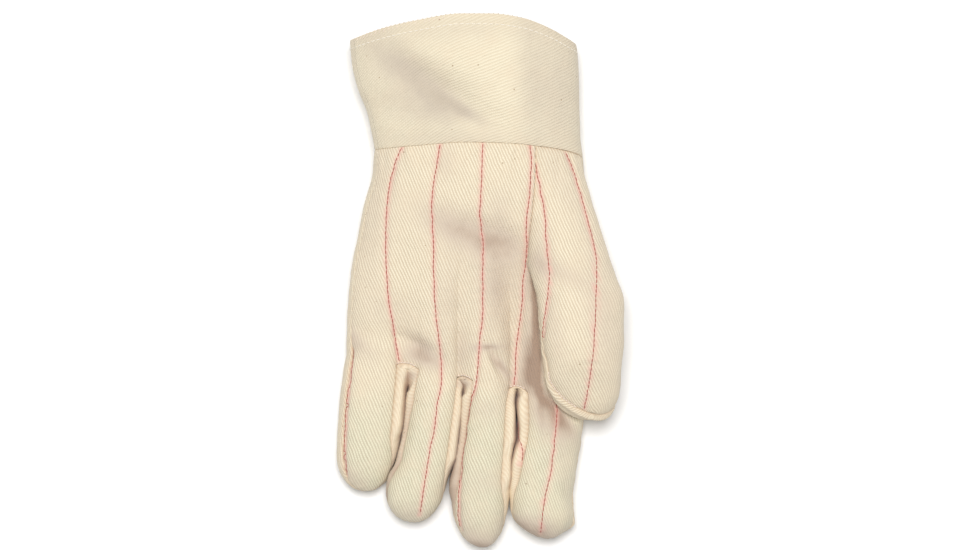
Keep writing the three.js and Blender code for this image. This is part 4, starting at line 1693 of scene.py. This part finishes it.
@dataclass
class Stitching:
    """Strands of thread gathered into one piece."""

    name: str
    slot: Slot
    material: bpy.types.Material
    sides: int = 6
    lag: float = 0.13
    points: list[Array] = field(default_factory=list)
    places: list[Array] = field(default_factory=list)
    faces: list[list[int]] = field(default_factory=list)
    count: int = 0

    def strand(self, path: Array, normals: Array, radius: Array) -> None:
        """Adds a strand.

        Args:
            path: Its middle line.
            normals: The direction off the cloth at each point.
            radius: Its radius at each point.
        """
        along = unit(np.gradient(path, axis=0))
        side = unit(np.cross(along, normals))
        up = np.cross(side, along)
        turn = np.linspace(0, 2 * np.pi, self.sides, endpoint=False)
        ring = np.cos(turn)[None, :, None] * side[:, None] + np.sin(turn)[None, :, None] * up[:, None]
        skin = path[:, None] + ring * radius[:, None, None]
        twist = lengths(path)[:, None] + self.count * self.lag
        place = np.stack(np.broadcast_arrays(twist, turn[None] / (2 * np.pi)), axis=-1)
        self.points.append(skin.reshape(-1, 3))
        self.places.append(place.reshape(-1, 2))
        ids = np.arange(len(path) * self.sides).reshape(-1, self.sides) + self.count
        beside = np.roll(ids, -1, axis=1)
        loops = np.stack([ids[:-1], beside[:-1], beside[1:], ids[1:]], axis=-1)
        self.faces += loops.reshape(-1, 4).tolist()
        self.faces += [ids[0, ::-1].tolist(), ids[-1].tolist()]
        self.count += ids.size

    def make(self) -> None:
        """Makes the piece."""
        fields = {"weave": np.vstack(self.places)}
        points = np.vstack(self.points)
        make_object(self.name, points, self.faces, fields, self.material)


@dataclass
class StitchRun:
    """One row of stitches along a path on the cloth."""

    pitch: float = 2.5
    radius: float = 0.15
    apart: float = 0.11
    rise: float = 0.14
    gap: float = 0.0
    bury: float = 0.05
    steps: int = 7

    def sew(self, thread: Stitching, places: Array, normals: Array, looped: bool) -> None:
        """Sews the row.

        Args:
            thread: Takes the strands.
            places: The path on the cloth.
            normals: The cloth's normals along it.
            looped: Whether each stitch is a loop of two strands.
        """
        length = lengths(places)
        share = np.linspace(0, 1, self.steps)
        arch = np.sin(np.pi * share)
        radius = self.radius * (0.7 + 0.3 * arch**0.5)
        for k in range(int(length[-1] / self.pitch)):
            where = (k + share * (1 - self.gap / self.pitch)) * self.pitch
            path = along_path(where, length, places)
            up = unit(along_path(where, length, normals))
            side = unit(np.cross(np.gradient(path, axis=0), up))
            lifted = path + up * (self.rise * arch - self.bury)[:, None]
            for sign in (-1, 1) if looped else (0,):
                offset = side * (sign * self.apart * arch)[:, None]
                thread.strand(lifted + offset, up, radius)


# The quilting lines, from the cuff seam to the fingertips, as places seen from above.
PALM_LINES = tuple(
    QuiltLine(route)
    for route in (
        ((-63.8, -100.2), (-64.8, -115.2), (-65.8, -125.2), (-66.8, -140.2), (-67.3, -155.2),
         (-66.8, -162.8)),
        ((-38.3, 0.6), (-41.8, -7.8), (-45.3, -25.2), (-46.3, -45.2), (-45.3, -70.2), (-42.3, -90.2),
         (-39.3, -107.6)),
        ((-19.3, 2.0), (-20.8, -7.8), (-23.3, -27.8), (-22.8, -40.2), (-21.8, -75.2), (-19.3, -100.2),
         (-18.3, -115.2), (-20.3, -125.2), (-22.3, -140.2), (-24.3, -150.2), (-26.8, -165.2),
         (-29.3, -182.8)),
        ((2.2, 2.6), (1.2, -20.2), (0.7, -32.8), (2.2, -47.8), (2.2, -75.2), (0.2, -100.2),
         (-1.3, -116.8), (-5.6, -129.8), (-7.6, -143.2), (-9.3, -161.2), (-10.2, -181.8),
         (-9.0, -190.2)),
        ((25.3, 1.8), (26.4, -3.8), (25.9, -13.2), (25.1, -25.2), (23.8, -36.2), (23.9, -48.8),
         (23.2, -58.2), (21.9, -66.2), (21.7, -75.2), (18.7, -100.2), (17.7, -119.6)),
        ((38.1, -122.0), (39.1, -130.8), (37.6, -148.2), (35.5, -163.5), (33.0, -173.8),
         (30.9, -192.1)),
    )
)
THUMB_LINES = tuple(
    QuiltLine(route)
    for route in (
        ((28.3, -7.8), (29.1, -11.8), (31.1, -22.8), (33.2, -36.2), (33.7, -47.2), (35.1, -61.8),
         (34.0, -74.8), (32.2, -87.8), (31.7, -93.5)),
        ((43.7, -2.0), (47.6, -11.8), (50.8, -22.8), (55.2, -39.2), (57.3, -47.8), (58.7, -58.2),
         (58.2, -75.2), (56.7, -100.2), (53.7, -122.8), (52.2, -129.6)),
    )
)
SIDE_LINES = tuple(
    QuiltLine(route)
    for route in (
        ((19.2, -130.8), (20.2, -143.2), (22.2, -151.2), (21.2, -157.2)),
    )
)
# Folds, and patches of painted shade in dents, creases and shadows: x, y, along, across, turn, and
# how deep or how dark.
PALM_FOLDS = (
    Dent(8.0, -104.0, 9.5, 1.9, -68, 1.6),
    Dent(-17.5, -101.0, 13.0, 3.0, -86, 1.0),
    Dent(-31.0, -97.0, 9.0, 3.4, -24, 1.0),
    Dent(4.0, -57.0, 16.0, 5.0, -8, -0.7),
    Dent(22.5, -100.0, 14.0, 4.0, -78, 1.0),
)
FINGER_FOLDS = (
    Dent(-3.0, -133.0, 6.0, 2.0, 12, 0.6),
    Dent(-2.0, -141.0, 7.0, 2.2, 8, 0.5),
    Dent(35.0, -158.0, 9.0, 2.6, 24, 0.6),
    Dent(44.0, -172.0, 7.0, 3.0, -60, 0.8),
    Dent(-31.0, -128.0, 6.0, 2.4, -20, 0.5),
)
CUFF_FOLDS = (
    Dent(19.0, 33.0, 40.0, 8.0, 88, -1.0),
    Dent(-36.0, 14.0, 18.0, 6.0, 4, -0.8),
)
# Painted shade on the palm: its dents, the shadow beside the thumb, the crotches and the fingertips.
PALM_SHADE_PATCHES = (
    Dent(5.2, -45.6, 23.0, 8.5, -14, 1.0),
    Dent(-16.3, -35.8, 16.0, 7.5, -26, 0.7),
    Dent(-16.8, -5.5, 10.0, 5.0, 90, 0.4),
    Dent(10.7, -30.2, 10.0, 7.0, 80, 0.3),
    Dent(8.2, -67.2, 25.0, 9.0, -84, 0.9),
    Dent(19.0, -62.0, 20.0, 6.0, -84, 0.3),
    Dent(-14.3, -76.2, 26.0, 8.0, 88, 0.36),
    Dent(-50.3, -30.8, 36.0, 9.0, 80, 0.4),
    Dent(-44.3, -80.2, 13.0, 8.0, -30, 0.4),
    Dent(-27.6, -100.2, 10.0, 5.5, -42, 0.85),
    Dent(-32.8, -102.0, 7.0, 4.5, 0, 0.6),
    Dent(-25.0, -105.5, 10.0, 4.0, -14, 0.5),
    Dent(-8.8, -102.2, 13.0, 3.2, 88, 0.6),
    Dent(4.7, -98.6, 6.5, 1.7, 0, 1.2),
    Dent(10.9, -107.6, 7.5, 2.2, -52, 1.3),
    Dent(-2.0, -100.0, 6.0, 4.0, 90, 0.4),
    Dent(14.2, -99.0, 10.0, 4.0, 85, 0.4),
    Dent(25.2, -60.0, 26.0, 3.5, 88, 0.9),
    Dent(28.9, -90.0, 34.0, 1.9, -87, 2.2),
    Dent(26.2, -106.0, 12.0, 4.5, -84, 1.3),
    Dent(27.8, -98.0, 16.0, 3.2, -86, 0.8),
    Dent(22.6, -112.0, 17.0, 5.5, -88, 0.6),
    Dent(35.6, -127.0, 15.0, 3.2, -52, 1.7),
    Dent(36.0, -137.0, 16.0, 7.0, -40, 0.7),
    Dent(18.2, -118.0, 8.0, 6.0, 0, 0.6),
    Dent(36.0, -133.0, 14.0, 6.0, -45, 0.5),
    Dent(43.2, -160.2, 25.0, 6.0, -80, 0.3),
    Dent(-66.0, -93.0, 9.0, 5.0, -60, 0.7),
    Dent(-1.0, -197.0, 14.0, 7.0, 0, 0.6),
    Dent(0.5, -200.0, 12.0, 4.0, 0, 1.0),
    Dent(27.0, -191.0, 16.0, 8.0, -14, 1.0),
    Dent(26.0, -196.0, 14.0, 4.5, -8, 0.8),
    Dent(24.5, -188.5, 12.0, 5.0, -20, 0.5),
    Dent(-6.0, -188.0, 20.0, 6.0, -62, 0.3),
    Dent(-60.5, -96.5, 12.0, 5.0, -40, 0.5),
    Dent(-33.0, -184.0, 16.0, 7.0, -10, 0.5),
    Dent(-64.0, -164.0, 12.0, 5.0, -40, 0.5),
    Dent(4.0, -166.0, 12.0, 6.0, 0, 0.3),
    Dent(6.0, -130.0, 10.0, 5.0, 0, 0.3),
)
# Painted shade on the thumb's front, in its creases and down its sides.
THUMB_SHADE_PATCHES = (
    Dent(61.7, -80.2, 36.0, 9.0, -84, 0.6),
    Dent(31.5, -50.0, 14.0, 5.0, 90, 0.5),
    Dent(45.0, -20.0, 26.0, 7.0, -62, 0.32),
    Dent(35.0, -59.0, 16.0, 5.0, -24, 0.7),
    Dent(36.5, -84.0, 22.0, 5.0, -80, 0.4),
)
# Painted shade and shadow deep between the fingers and in the holes at the crotches.
SIDE_SHADE_PATCHES = (
    Dent(-38.0, -146.0, 30.0, 2.4, 75, 0.85),
    Dent(-42.6, -168.0, 12.0, 3.6, 66, 1.7),
    Dent(-34.6, -113.0, 4.0, 2.6, 10, 1.1),
    Dent(-8.8, -133.0, 26.0, 1.6, 84, 0.6),
    Dent(-12.0, -164.0, 30.0, 2.0, 84, 1.5),
    Dent(-7.6, -116.8, 3.4, 2.2, 0, 1.4),
    Dent(19.0, -124.4, 2.4, 2.4, 0, 2.0),
)
# Painted shade in the cuff's dents and down its sides.
CUFF_SHADE_PATCHES = (
    Dent(-24.3, 29.8, 23.0, 8.5, -42, 0.95),
    Dent(-45.0, 44.0, 17.0, 9.0, -40, 0.65),
    Dent(-31.8, 19.8, 18.0, 8.0, -16, 0.5),
    Dent(-6.8, 18.8, 13.0, 3.2, -32, 0.7),
    Dent(-16.8, 4.8, 34.0, 4.5, 0, 0.35),
    Dent(-14.0, 60.0, 50.0, 7.0, 2, 0.3),
    Dent(25.7, 40.8, 46.0, 7.0, 92, 0.35),
    Dent(40.7, 29.8, 50.0, 14.0, 90, 0.55),
)


@dataclass
class Cuff:
    """The band cuff with its hem stitching and its overlocked rim."""

    shape: GloveShape
    panel: Panel
    cloth: bpy.types.Material
    thread: bpy.types.Material
    white: bpy.types.Material
    hem: float = 5.2
    bite: float = 2.0
    straight: float = 5.0
    skew: float = 0.006
    overlock_pitch: float = 2.4
    overlock_middle: float = 1.7
    overlock_radius: float = 0.15

    def make(self) -> None:
        """Makes the band, its hem stitches and its overlock."""
        lean = np.clip(-self.panel.base[:, 0] - self.straight, 0, None)
        self.panel.weave[:, 1] -= self.skew * lean**2
        band = ClothPiece(
            self.panel,
            "cuff_band",
            Slot.CUFF,
            self.cloth,
            folds=CUFF_FOLDS,
            shade_patches=CUFF_SHADE_PATCHES,
            clean=0.4,
            roll=1.7,
            sink=0.7,
            pucker=0.3,
            wave=0.5,
        )
        band.make()
        thread = Stitching("hem_stitching", Slot.SEAM_THREAD, self.white, 5)
        hem = self.shape.cuff_row(1 - self.hem / self.shape.cuff_height)
        places, normals = band.on_skin(self.evened(hem, 0.8))
        StitchRun(pitch=2.9, radius=0.23, rise=0.17, gap=0.8).sew(thread, places, normals, False)
        thread.make()
        over = Stitching("rim_overlock", Slot.SEAM_THREAD, self.thread, 5)
        self.overlock(over)
        over.make()

    @staticmethod
    def evened(path: Array, step: float) -> Array:
        """Spaces a path's points evenly, a step apart."""
        length = lengths(path)
        return along_path(np.arange(0, length[-1], step), length, path)

    def overlock(self, thread: Stitching) -> None:
        """Sews slanted loops over the rim.

        Args:
            thread: Takes the strands.
        """
        rim = self.shape.cuff_row(1.0)
        low = self.shape.cuff_row(1 - self.bite / self.shape.cuff_height)
        length = lengths(rim)
        down = unit(low - rim)
        normal = unit(np.cross(down, unit(np.gradient(rim, axis=0))))
        # Each loop's places: how far along, how far below the rim and how far outside it.
        course = (
            (0.0, self.bite, -0.28),
            (0.25, 0.9, -0.35),
            (0.45, 0.1, -0.95),
            (0.6, -0.25, -1.7),
            (0.75, 0.1, -2.5),
            (0.9, 0.9, -3.2),
            (1.1, self.bite, -3.35),
        )
        for k in range(int(length[-1] / self.overlock_pitch)):
            path = []
            off = []
            for slant, below, inside in course:
                where = (k + slant) * self.overlock_pitch
                under = along_path(where, length, down)
                out = along_path(where, length, normal)
                path.append(along_path(where, length, rim) + under * below + out * inside)
                off.append(out * (self.overlock_middle + inside) - under)
            thread.strand(np.array(path), np.array(off), np.full(len(path), self.overlock_radius))


@dataclass
class Hand:
    """The palm, back, side strips and thumb, with the quilting on them."""

    shape: GloveShape
    panels: dict[str, Panel]
    quilted: bpy.types.Material
    plain: bpy.types.Material
    side: bpy.types.Material
    red: bpy.types.Material
    pale: bpy.types.Material
    tack_rise: float = 1.3
    tack_step: float = 0.5
    tip_start: float = 0.74
    tip_end: float = 0.985

    def make(self) -> None:
        """Makes the panels and sews the red quilting."""
        palm = ClothPiece(
            self.panels["palm_panel"],
            "palm_cloth",
            Slot.QUILTED,
            self.quilted,
            lines=PALM_LINES,
            folds=PALM_FOLDS + FINGER_FOLDS,
            shade_patches=PALM_SHADE_PATCHES,
            gather=1.1,
            clean=0.25,
            fresh=1.0,
        )
        thumb = ClothPiece(
            self.panels["thumb_front"],
            "thumb_cloth",
            Slot.QUILTED,
            self.quilted,
            lines=THUMB_LINES,
            shade_patches=THUMB_SHADE_PATCHES,
            gather=0.9,
        )
        for piece in (palm, thumb):
            piece.make()
        plain = {
            "back_panel": ("back_cloth", 0.8),
            "thumb_back": ("thumb_back_cloth", 0.0),
            "little_ring_strip": ("little_ring_side", 0.0),
            "ring_middle_strip": ("ring_middle_side", 0.0),
            "middle_index_strip": ("middle_index_side", 0.0),
        }
        sides = []
        for node, (name, gather) in plain.items():
            strip = node.endswith("strip")
            cloth = ClothPiece(
                self.panels[node],
                name,
                Slot.PLAIN,
                self.side if strip else self.plain,
                gather=gather,
                clean=0.25,
                bead=1.3 if node == "thumb_back" else 0.0,
                closing=strip,
                groove=0.2 if strip else 0.7,
                lines=SIDE_LINES if node == "middle_index_strip" else (),
                shade_patches=SIDE_SHADE_PATCHES if strip else (),
            )
            cloth.make()
            sides.append(cloth)
        thread = Stitching("quilting", Slot.QUILTING_THREAD, self.red)
        for piece in (palm, thumb, *sides):
            for line in piece.lines:
                places, normals = piece.below(line.points)
                StitchRun().sew(thread, places, normals, True)
        thread.make()
        self.tacks(palm, thumb)

    def tacks(self, palm: ClothPiece, thumb: ClothPiece) -> None:
        """Sews the pale stitches across each crotch and round the thumb's tip.

        Args:
            palm: The palm.
            thumb: The thumb's front.
        """
        thread = Stitching("seam_stitching", Slot.SEAM_THREAD, self.pale, 5)
        run = StitchRun(pitch=1.7, radius=0.28, rise=0.4, gap=0.3)
        for i in range(3):
            bend = self.shape.pressed(self.shape.crotch_rows(i)[:, -1])
            path = Cuff.evened(bend + [0.0, self.tack_rise, 0.0], self.tack_step)
            run.sew(thread, *palm.on_skin(path), False)
        levels = np.linspace(self.tip_start, self.tip_end, 40)
        tip = np.array([self.shape.thumb_row(at, Side.FRONT)[1] for at in levels])
        run.sew(thread, *thumb.on_skin(Cuff.evened(tip, self.tack_step)), False)
        thread.make()


@dataclass(frozen=True)
class Studio:
    """The pale table, the soft lights and the camera straight above."""

    lens: float = 200.0
    view_width: float = 489.0
    aim: Triple = (4.5, 3.75, 20.0)
    sky_light: float = 0.38
    table_reach: float = 20.0

    def lamp(self, name: str, place: Vector, size: float, power: float) -> None:
        """Adds a square soft light that points at the glove.

        Args:
            name: Its name.
            place: Where it is, in metres.
            size: Its side, in metres.
            power: Its power, in watts.
        """
        data = bpy.data.lights.new(name, "AREA")
        data.shape = "SQUARE"
        data.size = size
        data.energy = power
        lamp = bpy.data.objects.new(name, data)
        lamp.location = place
        lamp.rotation_mode = "QUATERNION"
        lamp.rotation_quaternion = (-place).to_track_quat("-Z", "Y")
        bpy.context.scene.collection.objects.link(lamp)

    def make(self) -> None:
        """Makes the camera, the lights, the sky and the table."""
        scene = bpy.context.scene
        data = bpy.data.cameras.new("camera")
        data.lens = self.lens
        data.sensor_width = 36.0
        data.clip_end = 100.0
        camera = bpy.data.objects.new("camera", data)
        away = self.view_width * self.lens / data.sensor_width
        camera.location = Vector(self.aim) * MM + Vector((0, 0, away * MM))
        scene.collection.objects.link(camera)
        scene.camera = camera
        self.lamp("softbox", Vector((-0.02, 0.5, 3.25)), 1.0, 91)
        sky = bpy.data.worlds.new("studio_air")
        sky.use_nodes = True
        sky.node_tree.nodes["Background"].inputs[0].default_value = (1, 1, 1, 1)
        sky.node_tree.nodes["Background"].inputs[1].default_value = self.sky_light
        scene.world = sky
        scene.view_settings.view_transform = "Standard"
        reach = self.table_reach
        corners = [(-reach, -reach, 0), (reach, -reach, 0), (reach, reach, 0), (-reach, reach, 0)]
        mesh = bpy.data.meshes.new("table")
        mesh.from_pydata(corners, [], [(0, 1, 2, 3)])
        mesh.materials.append(TableFinish().material())
        table = bpy.data.objects.new("table", mesh)
        scene.collection.objects.link(table)


def main() -> None:
    """Builds the glove and its studio."""
    logging.basicConfig(level=logging.INFO, format="%(name)s %(message)s")
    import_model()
    shape = GloveShape()
    panels = Pattern(shape).cut()
    quilted = TwillFinish("quilted_twill").material()
    plain = TwillFinish("plain_twill").material()
    # A lighter copy of the plain twill for the side strips, with less painted shade in its weave,
    # painted light against the shade on their steep sides.
    side = TwillFinish(
        "lit_side_twill",
        yarn=(247, 234, 208),
        shaded_valley=(230, 211, 181),
        # Dark painted shade deep between the fingers, with the seams' dust.
        dust_and_shade=(150, 102, 74),
        pitch=1.1,
        relief=0.0001,
        wander=0.4,
    ).material()
    drill = TwillFinish(
        "cuff_drill",
        yarn=(239, 229, 204),
        shaded_valley=(223, 209, 181),
        # Greyer painted shade for the cuff's dents.
        painted_shade=(196, 183, 166),
        deep_painted_shade=(176, 164, 148),
        angle=-22.0,
    ).material()
    red = ThreadFinish("red_thread", (198, 110, 100), (148, 78, 68)).material()
    pale = ThreadFinish("pale_thread", (248, 236, 222), (236, 214, 200)).material()
    white = ThreadFinish("white_thread", (252, 247, 236), (240, 230, 212)).material()
    Hand(shape, panels, quilted, plain, side, red, pale).make()
    Cuff(shape, panels["cuff"], drill, pale, white).make()
    Studio().make()
    LOG.info("glove made of %d panels", len(panels))


if __name__ == "__main__":
    main()
